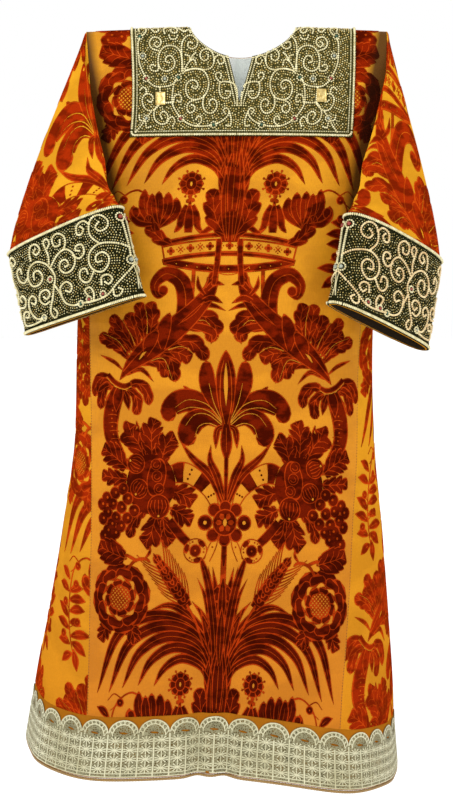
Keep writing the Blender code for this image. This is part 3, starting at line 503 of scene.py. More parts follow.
class Figure:
    """Outlines on a chart in painter's order, each one rim, deep or vein pile, or bare ground."""

    def __init__(self):
        self.shapes = []

    def add(self, tone, shape):
        self.shapes.append((tone, np.asarray(shape, float)))

    def blade(self, controls, half_width, fat=0.45, root=0.35, point=1.0, rim=1.9, vein=0.0,
              tones=(RIM, DEEP)):
        """A leaf along a curved spine, with a rim and, if asked, a vein of some half width."""
        line = spine_line(controls)
        t = np.linspace(0, 1, len(line))
        widths = half_width * leaf_profile(t, fat, root, point)
        self.add(tones[0], ribbon_outline(line, np.maximum(widths, 0.15)))
        inner = widths - rim
        kept = np.flatnonzero(inner > 0.4)
        if len(kept) > 2:
            kept = np.arange(kept[0], kept[-1] + 1)
            self.add(tones[1], ribbon_outline(line[kept], np.maximum(inner[kept], 0.3)))
            if vein and len(kept) > 5:
                middle = kept[1:-2]
                taper = np.linspace(1, 0.35, len(middle))
                self.add(VEIN, ribbon_outline(line[middle], vein * taper))

    def stem(self, controls, half_width, tones=(RIM, DEEP), rim=1.6):
        self.blade(controls, half_width, fat=0.5, root=1.0, point=0.12, rim=rim, tones=tones)

    def line(self, controls, half_width, tone=RIM):
        line = spine_line(controls)
        self.add(tone, ribbon_outline(line, half_width * np.linspace(1, 0.5, len(line))))

    def disc(self, centre, radius, tall=1.0, tone=RIM, turn=0.0, waves=0, wave=0.0):
        count = max(6, round(2 * math.pi * radius / DISC_STEP))
        angle = np.arange(count) / count * 2 * math.pi
        reach = radius * (1 + wave * np.cos(waves * angle))
        ring = np.stack([reach * np.cos(angle), reach * np.sin(angle) * tall], axis=1)
        self.add(tone, turned(ring, turn) + centre)

    def berry(self, centre, radius, rim=1.7, tall=1.0, eye=0.0):
        self.disc(centre, radius, tall)
        if radius - rim > 0.8:
            self.disc(centre, radius - rim, tall, DEEP)
        if eye:
            self.disc(centre, eye, 1.0, VEIN)

    def petals(self, centre, count, inner, outer, half_width, start=0.0, point=0.45, vein=0.0):
        """A ring of petals from one radius to another."""
        for k in range(count):
            away = direction(start + 360 * k / count)
            self.blade([centre + away * inner, centre + away * (inner + outer) / 2, centre + away * outer],
                       half_width, fat=0.6, root=0.45, point=point, vein=vein)

    def acanthus(self, controls, half_width, lobes, fat=0.5, depth=0.42, lean=0.5, root=0.45):
        """A broad leaf with a lobed edge, a midrib and a vein into every lobe. Its lobes lean to the tip."""
        line = spine_line(controls, LOBED_STEP)
        t = np.linspace(0, 1, len(line))
        ahead = unit(np.gradient(line, axis=0))
        across = np.stack([-ahead[:, 1], ahead[:, 0]], axis=1)
        broad = half_width * leaf_profile(t, fat, root, 0.6)
        phase = (t * lobes) % 1.0
        swell = 1 - depth * (1 - np.sin(math.pi * phase ** 0.75))
        for tone, inset, first, last in ((RIM, 0.0, 0.0, 1.0), (DEEP, LOBED_RIM, 0.02, 0.97)):
            wide = np.clip(broad * swell - inset, 0.2, None)
            kept = np.flatnonzero((broad - inset > 0.5) & (t > first) & (t < last))
            reach = ahead * (wide * lean * np.sin(math.pi * phase))[:, None]
            edges = [(line + reach + side * across * wide[:, None])[kept] for side in (1, -1)]
            self.add(tone, np.concatenate([edges[0], edges[1][::-1]]))
        for k in range(lobes):
            foot = int(np.interp(max(0.0, (k + 0.15) / lobes), t, np.arange(len(t))))
            top = min(len(line) - 1, int(np.interp((k + 0.6) / lobes, t, np.arange(len(t)))))
            for side in (-1, 1):
                end = line[top] + (side * across[top] + lean * ahead[top]) * broad[top] * 0.68
                middle = (line[foot] + end) / 2 + ahead[foot] * broad[foot] * 0.12
                self.line([line[foot], middle, end], LOBE_VEIN)
        self.line(line[:: max(1, len(line) // 6)], MIDRIB)

    def split_leaf(self, first, second, half_width):
        """A leaf of two long lobes from one foot, with a thin bare line between them."""
        for lobe in (first, second):
            self.acanthus(lobe, half_width * 1.15, 4, fat=0.66, depth=0.26, lean=0.35, root=0.22)
        between = [(np.array(a, float) + b) / 2 for a, b in zip(first, second)]
        self.line([between[0] + (between[1] - between[0]) * 0.3, between[1], between[2]], 0.9, BARE)

    def copied(self, move, turn=0.0, mirror=False):
        """A copy that is mirrored, turned and then moved."""
        made = Figure()
        for tone, shape in self.shapes:
            shape = shape * (-1, 1) if mirror else shape
            made.add(tone, turned(shape, turn) + move)
        return made

    def extend(self, other):
        self.shapes.extend(other.shapes)


REPEAT = 922.0                  # the figure's repeat down the cloth, in mm
REPEAT_ACROSS = 570.0           # and across it, one loom width

# Each row is one arching frond, from the stem over its highest place to its tip.
# The last number is its half width.
FRONDS = (
    ((20, 290), (38, 262), (78, 246), (114, 262), (136, 294), 9.0),
    ((18, 282), (44, 241), (95, 225), (142, 247), (170, 292), 10.5),
    ((16, 272), (48, 222), (110, 205), (168, 233), (204, 296), 11.0),
    ((14, 262), (54, 204), (124, 185), (192, 218), (234, 304), 11.5),
    ((12, 250), (62, 186), (142, 166), (216, 202), (262, 306), 11.0),
    ((8, 262), (24, 216), (68, 168), (108, 148), (150, 158), 8.5),
)


def draw_fronds(figure):
    for *line, half_width in FRONDS[::-1]:
        figure.blade(line, half_width, fat=0.5, root=0.5, point=0.8, rim=2.0, vein=0.6)
    for side in (0, 1):
        figure.blade([(2 + 14 * side, 330), (6 + 18 * side, 280), (2 + 8 * side, 222)], 7 - side, root=0.9,
                     vein=0.5)
    figure.blade([(10, 318), (24, 285), (36, 262)], 6.0)


def draw_stem(figure):
    """Half the bundle of leaves in the middle, up to the tendrils. It stands on the next repeat's fronds."""
    for tip, middle, half_width in (((52, 100), (30, 150), 6.0), ((31, 78), (21, 130), 5.0),
                                    ((62, 142), (34, 178), 7.0), ((44, 158), (27, 200), 8.0)):
        figure.blade([(3, 268), middle, tip], half_width * 1.2, vein=0.5)
    figure.blade([(6, 190), (13, 130), (22, 80)], 8.0, fat=0.3, root=0.8)
    for level, wide in ((126, 17), (154, 21), (182, 19), (210, 16), (238, 13)):
        figure.blade([(wide * 0.75, level + 36), (wide * 0.95, level + 10), (wide * 0.3, level - 16)], 9.5,
                     vein=0.5)


def draw_middle(figure):
    """What stands on the pattern's axis: it is drawn once, symmetric."""
    figure.blade([(0, 402), (0, 300), (0, 205)], 25.0, fat=0.3, root=0.65, point=0.8, rim=2.2)
    for side in (-1, 1):
        figure.acanthus([(side * 8, 392), (side * 30, 356), (side * 40, 300)], 21.0, 4, depth=0.3)
        figure.blade([(side * 6, 400), (side * 13, 330), (side * 16, 262)], 9.0, vein=0.6)
    figure.blade([(0, 345), (0, 290), (0, 215)], 12.0, fat=0.4, root=0.7, vein=0.7)
    figure.stem([(0, 60), (0, 110), (0, 175)], 6.0, tones=(RIM, RIM))
    figure.blade([(0, 190), (0, 130), (0, 92)], 9.0, fat=0.5, root=0.4, vein=0.6)
    figure.blade([(0, 262), (0, 200), (0, 150)], 9.0, fat=0.5, root=0.4, vein=0.6)


def draw_coronet_flowers(figure):
    """A round flower on a bell, a fleur and a tulip that stand on the coronet."""
    centre = np.array((80.0, 293.0))
    for k in range(8):                                  # stamens between the petals
        away = direction(22.5 + 45 * k)
        figure.line([centre + away * 12, centre + away * 25], 1.3)
        figure.disc(centre + away * 25.5, 2.4)
    figure.petals(centre, 8, 7, 24, 7.5, vein=0.0)
    figure.berry(centre, 11.0, tall=1.15)
    figure.disc(centre, 2.6, 1.9, BARE)
    figure.stem([(80, 313), (80, 330), (80, 346)], 3.0)
    figure.petals(np.array((80.0, 322.0)), 3, 0, 10, 4.0, start=180 - 50)
    for side in (-1, 1):                                # the bell, with its curled foot
        foot = [(80 + side * out, level) for out, level in ((4, 334), (13, 352), (17, 372), (27, 384))]
        figure.blade(foot, 7.5, fat=0.45, root=0.8, point=0.6)
    figure.blade([(80, 384), (80, 350), (80, 330)], 9.0, fat=0.4, root=0.8, point=0.6)
    figure.blade([(6, 385), (30, 372), (52, 384), (68, 376)], 6.0, root=0.8)
    figure.blade([(6, 388), (10, 350), (24, 318)], 6.5, vein=0.6)
    # the tulip
    for tip, half_width in (((106, 318), 9.5), ((188, 332), 9.0), ((122, 308), 9.5), ((168, 302), 9.0),
                            ((140, 306), 9.0), ((153, 310), 8.0)):
        base = np.array((140.0, 372.0))
        swing = np.array(((tip[0] - base[0]) * 0.9, (tip[1] - base[1]) * 0.45))
        figure.blade([base, base + swing, tip], half_width * 1.25, fat=0.6, root=0.5, point=0.6, vein=0.5)
    figure.acanthus([(104, 408), (128, 398), (150, 376), (160, 348)], 15.0, 4, depth=0.3)
    figure.berry((184, 346), 9.0, tall=1.2)
    figure.blade([(150, 368), (176, 366), (192, 350), (190, 334)], 6.0, root=0.6)


def draw_sprig(figure):
    """A twig of leaves and berries beside the coronet."""
    stem = [(158, 316), (182, 304), (206, 314), (224, 340), (232, 400), (224, 460), (206, 500)]
    figure.line(stem, 1.7)
    figure.line([(206, 314), (222, 306), (236, 318)], 1.2)
    # each row is a leaf: its foot on the twig, its tip, and its half width
    for foot, tip, half_width in (
            ((230, 372), (192, 362), 6.5), ((232, 388), (184, 384), 7.0), ((230, 408), (186, 402), 7.0),
            ((229, 428), (196, 430), 6.0), ((226, 452), (170, 446), 7.0), ((222, 462), (182, 482), 7.5),
            ((216, 474), (204, 512), 7.0), ((232, 350), (262, 330), 6.0), ((233, 372), (268, 360), 6.5),
            ((232, 420), (268, 396), 6.5), ((229, 440), (270, 426), 6.5), ((226, 466), (262, 462), 6.5),
            ((218, 482), (248, 500), 6.5)):
        middle = ((foot[0] + tip[0]) / 2, (foot[1] + tip[1]) / 2 - 4)
        figure.blade([foot, middle, tip], half_width * 1.3, fat=0.5, root=0.15, vein=0.5)
    for centre in ((212, 356), (206, 424), (244, 392), (246, 450), (208, 322)):
        figure.line([centre, (230, centre[1] + 14)], 1.0)
        figure.berry(centre, 8.0, eye=1.4)


def band_outline(level, drop, half_length, half_width):
    """A band across the axis that hangs or arches by drop at its middle, in mm."""
    u = np.linspace(-half_length, half_length, 41)
    line = np.stack([u, level + drop * (u / half_length) ** 2], axis=1)
    return ribbon_outline(line, np.full(len(u), half_width))


def draw_coronet(figure):
    """The jewelled band, seen a little from above, with its far rim below."""
    for tone, *sizes in ((RIM, 388, 13, 112, 4.5), (DEEP, 388, 13, 110, 2.2),
                         (RIM, 452, -16, 124, 7.5), (DEEP, 452, -16, 120, 5.0),
                         (RIM, 409, 13, 127, 13.5), (BARE, 408.5, 13, 124, 10.0),
                         (RIM, 424, 13, 127, 4.0), (DEEP, 424, 13, 124, 2.0)):
        figure.add(tone, band_outline(*sizes))
    for k in range(-6, 7):                              # quatrefoils and crosses in turn
        u = k * 18.5
        v = 408.5 + 13 * (u / 127) ** 2
        if k % 2:
            for turn in (45, -45):
                figure.add(RIM, turned([(-6.5, -0.9), (6.5, -0.9), (6.5, 0.9), (-6.5, 0.9)], turn) + (u, v))
            for right, down in ((0, 6.5), (0, -6.5), (7, 0), (-7, 0)):
                figure.disc((u + right, v + down), 1.3)
        else:
            for right, down in ((0, 4.4), (0, -4.4), (4.4, 0), (-4.4, 0)):
                figure.disc((u + right, v + down), 3.4)
            figure.disc((u, v), 3.2, tone=DEEP)
    for u in range(-100, 101, 20):
        figure.disc((u, 452 - 16 * (u / 124) ** 2), 1.4, tone=BARE)
    figure.add(VEIN, band_outline(463, -16, 40, 0.8))


def draw_scroll(figure):
    """The great acanthus scroll, its collar and the dotted stem under it."""
    figure.stem([(66, 446), (67, 490), (70, 520)], 3.6, tones=(RIM, RIM))
    # the leaves on its outer side, then those on its inner side: two lobes each, with a slit between them
    for first, second, half_width in (
            ([(192, 618), (222, 590), (262, 574)], [(190, 606), (214, 574), (240, 566)], 13.0),
            ([(180, 604), (202, 570), (234, 536)], [(172, 600), (180, 566), (196, 530)], 13.5),
            ([(160, 586), (166, 548), (172, 510)], [(152, 580), (144, 540), (152, 510)], 13.5),
            ([(170, 626), (132, 622), (112, 652)], [(160, 620), (112, 614), (98, 662)], 14.0),
            ([(128, 606), (96, 606), (66, 620)], [(126, 600), (70, 586), (34, 622)], 14.5),
            ([(96, 562), (40, 556), (24, 590)], [(92, 552), (44, 540), (8, 572)], 15.0)):
        figure.split_leaf(first, second, half_width)
    figure.blade([(88, 556), (50, 560), (24, 572), (30, 592)], 8.0, fat=0.6, root=0.6)
    for points, half_width in (([(208, 636), (226, 622), (258, 610)], 4.0),
                               ([(198, 646), (168, 636), (142, 660)], 4.5),
                               ([(70, 540), (46, 520), (26, 520), (2, 530)], 5.5),
                               ([(62, 522), (44, 500), (28, 496)], 5.0),
                               ([(54, 500), (40, 482), (40, 466)], 4.0)):
        figure.blade(points, half_width, vein=0.4)
    # the volute
    figure.blade([(84, 552), (80, 508), (90, 474), (118, 460), (140, 478), (136, 500), (120, 500)], 17.0,
                 fat=0.2, root=0.9, point=0.6, vein=0.8)
    figure.berry((124, 491), 9.5)
    # the trunk, with two long leaves that lie on it
    figure.blade([(24, 446), (34, 492), (62, 528), (98, 560), (140, 590), (186, 624), (214, 656)], 23.0,
                 fat=0.62, root=0.25, point=0.9, rim=2.2)
    for points, half_width in (([(48, 512), (30, 506), (8, 516)], 6.0),
                               ([(40, 490), (26, 478), (6, 482)], 5.5),
                               ([(36, 470), (28, 456), (14, 452)], 4.5),
                               ([(44, 500), (56, 484), (58, 464)], 4.5)):
        figure.blade(points, half_width, root=0.8)
    figure.blade([(44, 512), (66, 534), (96, 556)], 3.0, tones=(RIM, DEEP), rim=1.2)
    for foot, tip, half_width in (((124, 600), (110, 532), 14.0), ((158, 612), (132, 564), 13.0)):
        figure.blade([foot, ((foot[0] + tip[0]) / 2 + 6, (foot[1] + tip[1]) / 2), tip], half_width, fat=0.5,
                     root=0.3, point=0.7)
    figure.blade([(172, 618), (164, 608), (156, 602)], 2.6, tones=(BARE, BARE), fat=0.5)
    figure.line([(206, 640), (178, 612), (158, 596)], 1.1)
    # the husk and the dotted stem
    for points in ([(222, 666), (246, 652), (268, 662), (276, 690)],
                   [(226, 668), (244, 668), (256, 684), (260, 712)],
                   [(200, 670), (176, 662), (156, 678), (152, 704)],
                   [(200, 672), (184, 680), (176, 696), (180, 722)]):
        figure.acanthus(points, 12.0, 3, fat=0.6, depth=0.2, root=0.5)
    figure.blade([(214, 672), (238, 690), (248, 702)], 8.0, vein=0.6)
    figure.blade([(206, 672), (198, 692), (194, 712)], 8.0, vein=0.6)
    figure.blade([(216, 672), (232, 712), (236, 750), (226, 776), (206, 800)], 18.0,
                 fat=0.3, root=0.8, point=0.35, rim=2.2)
    for k in range(6):
        t = k / 5
        level = 712 + 74 * t
        figure.disc((230 + 4 * math.sin(math.pi * t) - 14 * t * t, level), 1.7, tone=VEIN)
        if 0 < k < 5:
            figure.line([(220 - 10 * t * t, level - 6), (230 - 10 * t * t, level - 8),
                         (241 - 10 * t * t, level - 6)], 0.7, VEIN)
    figure.blade([(212, 668), (220, 694), (222, 716)], 11.0, fat=0.4, root=0.6)
    ring = [(240, 646), (224, 660), (204, 667), (186, 661)]
    figure.stem(ring, 6.8, tones=(BARE, BARE))
    figure.stem(ring, 4.9, rim=1.6)


def draw_palmette(figure):
    """Half of the palmette. The petal on the axis is drawn later, over both halves."""
    for points, half_width in (
            ([(4, 742), (26, 716), (62, 686), (84, 668)], 5.0),
            ([(6, 744), (50, 702), (88, 696), (112, 714), (104, 732)], 22.0),
            ([(6, 748), (34, 728), (62, 734), (76, 758), (64, 776)], 21.5),
            ([(4, 742), (22, 700), (36, 664), (38, 622)], 16.5)):
        figure.blade(points, half_width, fat=0.68, root=0.15, point=0.42, rim=2.0)
    for points in ([(8, 736), (36, 704), (74, 694), (100, 708)], [(8, 738), (34, 716), (68, 708), (96, 716)],
                   [(8, 742), (36, 722), (62, 722), (80, 742)], [(10, 748), (34, 738), (54, 744), (62, 764)],
                   [(8, 734), (24, 700), (33, 664)]):
        figure.line(points, 1.1, BARE)


def draw_palmette_middle(figure):
    """The palmette's petal on the axis, and the stem under it."""
    figure.blade([(0, 748), (0, 700), (0, 602)], 20.0, fat=0.6, root=0.25, point=0.75, rim=2.2)
    for side in (-1, 1):
        figure.line([(side * 3, 740), (side * 11, 700), (side * 10, 650), (side * 4, 622)], 1.0, VEIN)
    figure.blade([(0, 706), (0, 664), (0, 624)], 4.2, tones=(BARE, BARE), fat=0.5, root=0.1)
    for side in (-1, 1):
        figure.blade([(side * 4, 744), (side * 18, 752), (side * 21, 786)], 6.5, root=0.6, vein=0.5)
    figure.blade([(0, 742), (0, 775), (0, 812)], 12.0, fat=0.45, root=0.6, rim=2.2, vein=0.7)
    figure.stem([(0, 800), (0, 850), (0, 900)], 4.2, tones=(RIM, DEEP))


def draw_fan(figure):
    """Blades and a dotted ribbon that rise from the cross flower."""
    ribbon = spine_line([(20, 892), (34, 862), (58, 840), (84, 828), (112, 834), (126, 850)])
    count = len(ribbon)
    half_widths = np.interp(np.linspace(0, 1, count), (0, 0.25, 0.7, 1), (8, 14, 20, 12))
    figure.add(RIM, ribbon_outline(ribbon, half_widths))
    for first, last, tone in ((0.03, 0.26, BARE), (0.27, 0.42, DEEP), (0.43, 0.64, BARE), (0.65, 0.76, DEEP),
                              (0.77, 0.98, BARE)):
        cut = slice(round(first * count), round(last * count) + 1)
        figure.add(tone, ribbon_outline(ribbon[cut], half_widths[cut] - 1.9))
        if tone == BARE:
            middle = (cut.start + min(cut.stop, count)) // 2
            across = sideways(unit(ribbon[middle + 1] - ribbon[middle - 1]))
            for k in (-1, 0, 1):
                figure.disc(ribbon[middle] + across * k * half_widths[middle] * 0.5, 2.1, tone=DEEP)
    figure.blade([(3, 892), (28, 838), (66, 802), (92, 768)], 8.5, fat=0.45, root=0.4, vein=0.5)
    figure.blade([(2, 884), (18, 836), (32, 806), (30, 778)], 8.0, fat=0.5, root=0.4, vein=0.5)


# The flower heads in the cluster: centre, radius, and how far its light eye lies from the centre.
CLUSTER_HEADS = (
    ((180, 810), 19, (12, -6)),
    ((174, 856), 19, (7, 10)),
    ((134, 890), 23, (0, 17)),
)
GRAPES = (
    (208, 856), (226, 864), (198, 874), (246, 874), (232, 884), (212, 890), (184, 896), (257, 886),
    (244, 900), (224, 909), (199, 910), (255, 912), (234, 921), (213, 924), (243, 933), (225, 937),
    (251, 943), (235, 950),
)


def draw_peony(figure):
    """The dark leafy cluster with its flower heads and the bunch of grapes."""
    # the leaves round it: points, half width, lobes
    for points, half_width, lobes in (
            ([(160, 804), (176, 770), (192, 752), (188, 734)], 21, 5),
            ([(146, 804), (148, 768), (146, 746), (138, 727)], 18, 5),
            ([(128, 812), (122, 786), (112, 770), (98, 762)], 17, 4),
            ([(196, 820), (222, 800), (240, 790), (256, 782)], 18, 5),
            ([(196, 838), (228, 836), (246, 834), (260, 832)], 13, 4),
            ([(112, 862), (92, 866), (76, 874), (62, 884)], 17, 4),
            ([(112, 892), (92, 902), (78, 912), (64, 918)], 15, 4),
            ([(126, 906), (122, 926), (120, 940), (104, 958)], 16, 3),
            ([(138, 906), (146, 930), (150, 944), (166, 958)], 18, 4),
            ([(156, 890), (176, 906), (188, 922), (194, 948)], 11, 3)):
        figure.acanthus(points, half_width * 1.35, lobes)
    figure.disc((150, 848), 50, 1.1, DEEP)
    for centre in GRAPES:
        figure.disc(centre, 12.2)
    for u, v in GRAPES:
        figure.disc((u, v), 10.2, tone=DEEP)
        figure.disc((u - 2, v - 1), 2.6, tone=VEIN)
    for centre, radius, eye in CLUSTER_HEADS:
        centre = np.array(centre, float)
        figure.berry(centre, radius, rim=1.8)
        away = unit(np.array(eye, float)[None])[0]
        across = sideways(away)
        for k in (-2, -1, 0, 1, 2):                     # petals that meet at the eye
            figure.line([centre - away * radius * 0.55 + across * radius * 0.28 * k,
                         centre + across * radius * 0.36 * k,
                         centre + away * radius * 0.55 + across * radius * 0.20 * k], 0.9)
        figure.disc(centre + eye, 2.6, tone=BARE)
    figure.disc((138, 836), 19, 1.9, turn=-14)
    figure.disc((138, 836), 17, 1.95, DEEP, turn=-14)
    for u, v in ((139, 812), (137, 834), (133, 857)):
        figure.berry((u, v), 11, rim=1.6)
        figure.line([(u - 6, v + 2), (u, v + 6), (u + 6, v + 1), (u + 1, v - 4)], 0.9)


def draw_tendril(figure):
    """The stem from the cluster, which turns into a dotted ring."""
    figure.stem([(112, 916), (88, 944), (66, 964)], 9.0)
    centre = np.array((58.0, 972.0))
    figure.disc(centre, 24, 0.95)
    figure.disc(centre, 22, 0.95, BARE)
    for k in range(6):
        away = direction(60 * k + 20)
        across = sideways(away)
        if k % 2:
            figure.blade([centre + away * 17 - across * 9, centre + away * 18,
                          centre + away * 17 + across * 9], 6.0, root=0.6, rim=1.4)
        else:
            figure.disc(centre + away * 17, 1.8)
            figure.disc(centre + away * 17 + across * 6, 1.5)
    figure.berry(centre, 12.0, rim=2.0, eye=2.0)
    figure.blade([(34, 990), (24, 966), (16, 948)], 8.0, tones=(RIM, BARE), rim=1.6, point=0.4, fat=0.5,
                 root=0.8)
    figure.disc((24, 966), 1.8)
    figure.blade([(8, 1180), (14, 1120), (28, 1040), (46, 986)], 9.0, fat=0.5, root=0.8, point=0.3, vein=0.6)


def draw_cross(figure):
    """The small flower on the axis."""
    figure.blade([(0, 960), (0, 985), (0, 1010)], 6.0, root=0.9)
    for level in (893, 952):
        figure.berry((0, level), 13, rim=2.2)
    for side in (-1, 1):
        figure.berry((side * 40, 921), 15, rim=2.2)
        figure.disc((side * 40, 921), 4.0, tone=BARE)
        figure.berry((side * 22, 898), 13, rim=2.2)
        figure.berry((side * 24, 944), 13, rim=2.2)
    figure.berry((0, 921), 25, rim=2.2)
    figure.petals(np.array((0.0, 921.0)), 6, 7, 19, 5.0, start=30)
    figure.disc((0, 921), 4.4, 1.7, BARE)


ROSE_HEART = 21.5               # mm, the radius of the latticed heart


def draw_rose(figure):
    """The open rose with a latticed heart."""
    centre = np.array((212.0, 1055.0))
    for turn in (150, 205):
        away = direction(turn)
        figure.acanthus([centre + away * 40, centre + away * 62, centre + away * 92], 17, 4)
    figure.petals(centre, 8, 20, 66, 26, start=11, point=0.42)
    figure.petals(centre, 8, 20, 57, 19, start=33.5, point=0.42)
    figure.disc(centre, 40, waves=8, wave=0.05)
    figure.disc(centre, 37.5, tone=BARE, waves=8, wave=0.10)
    figure.petals(centre, 8, 12, 36, 12.0, start=11, point=0.5)
    figure.disc(centre, 24, waves=8, wave=0.04)
    figure.disc(centre, ROSE_HEART, tone=BARE)
    for k in range(-3, 4):                              # the lattice, one band each way
        v = k * 5.6
        half = math.sqrt(ROSE_HEART ** 2 - v ** 2)
        for turn in (40, -50):
            band = turned([(-half, v - 1.1), (half, v - 1.1), (half, v + 1.1), (-half, v + 1.1)], turn)
            figure.add(RIM, band + centre)
    # its twig, and the leaf above
    figure.stem([(196, 1004), (182, 988), (160, 984), (148, 992)], 3.0, tones=(RIM, RIM))
    figure.stem([(176, 988), (196, 978), (212, 976)], 3.0, tones=(RIM, RIM))
    figure.blade([(160, 984), (150, 972), (150, 960)], 3.2)
    figure.acanthus([(198, 984), (230, 974), (266, 962)], 25, 5, depth=0.12, fat=0.45)


def draw_wheat(figure):
    """An ear with its grains in rows and long beards."""
    base, tip = np.array((72.0, 1070.0)), np.array((136.0, 984.0))
    along = unit(tip - base)
    across = sideways(along)
    length = float(np.linalg.norm(tip - base))
    for side in (-1, 1):
        for k in range(9):
            foot = base + along * length * (0.05 + 0.1 * k) + across * side * 9
            figure.line([foot, foot + along * 24 + across * side * 13,
                         foot + along * 46 + across * side * 20], 1.3)
    figure.blade([base - along * 6, (base + tip) / 2, tip + along * 12], 14.0, fat=0.4, root=0.6, point=0.7)
    for k in range(8):
        at = base + along * length * (0.04 + 0.122 * k)
        wide = 8.5 - 0.45 * k
        for side in (-1, 1):
            out = across * side * wide
            figure.blade([at, at + out + along * 6, at + out * 0.8 + along * 18],
                         5.2 - 0.25 * k, fat=0.5, root=0.5, point=0.6, rim=1.5)
        figure.berry(at + along * 8, 4.4 - 0.2 * k, rim=1.3, tall=1.3)
    figure.stem([base, (52, 1104), (34, 1150)], 2.2, tones=(RIM, RIM))


def velvet_figure():
    """One repeat of the velvet's figure: 570 mm across, round the axis u = 0, and 922 mm down."""
    stem, half, middle, whole = Figure(), Figure(), Figure(), Figure()
    draw_stem(stem)
    for draw in (draw_fronds, draw_sprig, draw_coronet_flowers, draw_scroll, draw_palmette, draw_fan,
                 draw_peony, draw_tendril, draw_wheat, draw_rose):
        draw(half)
    draw_middle(middle)
    for drawn, down in ((stem, REPEAT), (half, 0)):
        for mirror in (False, True):
            whole.extend(drawn.copied((0, down), mirror=mirror))
    whole.extend(middle.copied((0, REPEAT)))
    draw_coronet(whole)
    draw_palmette_middle(whole)
    draw_cross(whole)
    for side in (-1, 1):                                # the two main stems pass in front of the coronet
        whole.stem([(side * 20, 396), (side * 22, 440), (side * 28, 486)], 5.6)
    return whole


# ---------------------------------------------------------------- meshes

MATERIALS = {}


def grid_faces(rows, columns, flip=False, closed=False):
    """The quads of a grid of points. They face down the rows crossed with across the columns."""
    index = np.arange(rows * columns).reshape(rows, columns)
    if closed:
        index = np.concatenate([index, index[:, :1]], axis=1)
    a, b, c, d = grid_corners(index)
    quads = np.stack([a, d, c, b], axis=1)
    return quads[:, ::-1] if flip else quads


def add_mesh(name, points, faces, materials, slots=None, smooth=True):
    """A new object from points and faces, with the named materials and one slot number for each face."""
    mesh = bpy.data.meshes.new(name)
    points, faces = np.asarray(points, float), np.asarray(faces)
    mesh.vertices.add(len(points))
    mesh.vertices.foreach_set("co", points.ravel())
    mesh.loops.add(faces.size)
    mesh.loops.foreach_set("vertex_index", faces.ravel().astype(np.int32))
    mesh.polygons.add(len(faces))
    mesh.polygons.foreach_set("loop_start", np.arange(0, faces.size, faces.shape[1], dtype=np.int32))
    mesh.update(calc_edges=True)
    for material in [materials] if isinstance(materials, str) else materials:
        mesh.materials.append(MATERIALS[material])
    if slots is not None:
        mesh.polygons.foreach_set("material_index", np.asarray(slots, np.int32))
    if smooth:
        mesh.shade_smooth()
    made = bpy.data.objects.new(name, mesh)
    bpy.context.scene.collection.objects.link(made)
    return made


def welded(points, normals, faces):
    """The same mesh with points that lie together made one, and the numbers of the points that stay."""
    _, first, number = np.unique(np.round(points, 5), axis=0, return_index=True, return_inverse=True)
    number = number.ravel()
    total = np.zeros((len(first), 3))
    np.add.at(total, number, normals)
    return points[first], unit(total), number[faces], first


def open_edges(faces):
    """The directed edges that only one face has."""
    edges = np.stack([faces, np.roll(faces, -1, axis=1)], axis=2).reshape(-1, 2).astype(np.int64)
    big = int(faces.max()) + 1
    there, back = edges[:, 0] * big + edges[:, 1], edges[:, 1] * big + edges[:, 0]
    return edges[~np.isin(there, back)]


WALL_SHARP = math.radians(50)


def add_wall(name, outer, inner, faces, materials):
    """A closed wall: its outer face, its inner face and its edge each have a material, in that order."""
    count = len(outer)
    edge = open_edges(faces)
    rim = np.stack([edge[:, 1], edge[:, 0], edge[:, 0] + count, edge[:, 1] + count], axis=1)
    slots = np.repeat((0, 1, 2), (len(faces), len(faces), len(rim)))
    every = np.concatenate([faces, faces[:, ::-1] + count, rim])
    made = add_mesh(name, np.concatenate([outer, inner]), every, materials, slots)
    made.data.set_sharp_from_angle(angle=WALL_SHARP)
    return made


# ---------------------------------------------------------------- panels, with the neck and the slit

COLLAR_COLUMNS = (0.0, 0.06, 0.13, 0.28, 0.44, 0.60, 0.79)  # shares of the way to the collar's side edge
NECK_SHARES = (0.0, 0.20, 0.42, 0.67, 0.88, 1.0)            # of the way from the slit to the neck's side
YOKE_ROWS = (0.0, 0.07, 0.15, 0.25, 0.42, 0.60, 0.80, 1.0)
LOWER_COLLAR_ROWS = (0.50, 0.925, 1.0)
CHEST_ROWS = (0.5, 1.0)
FIRST_SKIRT_LEVEL = 0.08
COLLAR_RIM = 0.0015
CUFF_RIM = 0.0025
LINING_WALL = 0.001


def collar_edge(side):
    """Where the collar's side edge lies, as a share of half a panel."""
    return COLLAR_HALF_WIDTH[side] / seam_of(section_at(0), side)


def neck_line(face, side, shares):
    """(share, run) at the neck or the shoulder line where columns of half a panel start."""
    seam, edge, width = seam_of(section_at(0), side), collar_edge(side), NECK_HALF_WIDTH[side]
    if face == FRONT:
        x = SLIT_HALF_WIDTH + np.array(NECK_SHARES) * (width - SLIT_HALF_WIDTH)
    else:
        x = width * np.linspace(0, 1, len(NECK_SHARES))
    ends = np.array(COLLAR_COLUMNS) * edge
    start = np.interp(shares, np.append(ends, 1.0), np.concatenate([x / seam, [ends[-1], 1.0]]))
    hollow = np.clip(1 - (start * seam / width) ** 2, 0, None) ** NECK_POWER
    return start, np.where(shares <= ends[len(x) - 1], run_of_drop(NECK_DROP[face] * hollow), 0.0)


def half_chart(face, side, shares, yoke, lower_levels):
    """The chart places of half a panel: rows are shares of the way down to the slit's end, then levels."""
    start, run = neck_line(face, side, shares)
    part = np.asarray(yoke)[:, None]
    above = np.stack([start + part * (shares - start),
                      TOP_LEVEL + run + part * (run_of_drop(SLIT_END_DROP) - run)], axis=-1)
    below = np.stack(np.meshgrid(shares, lower_levels), axis=-1)
    chart = np.concatenate([above, below])
    return chart * (side * PANEL_HALF_CHART, 1 / MM)


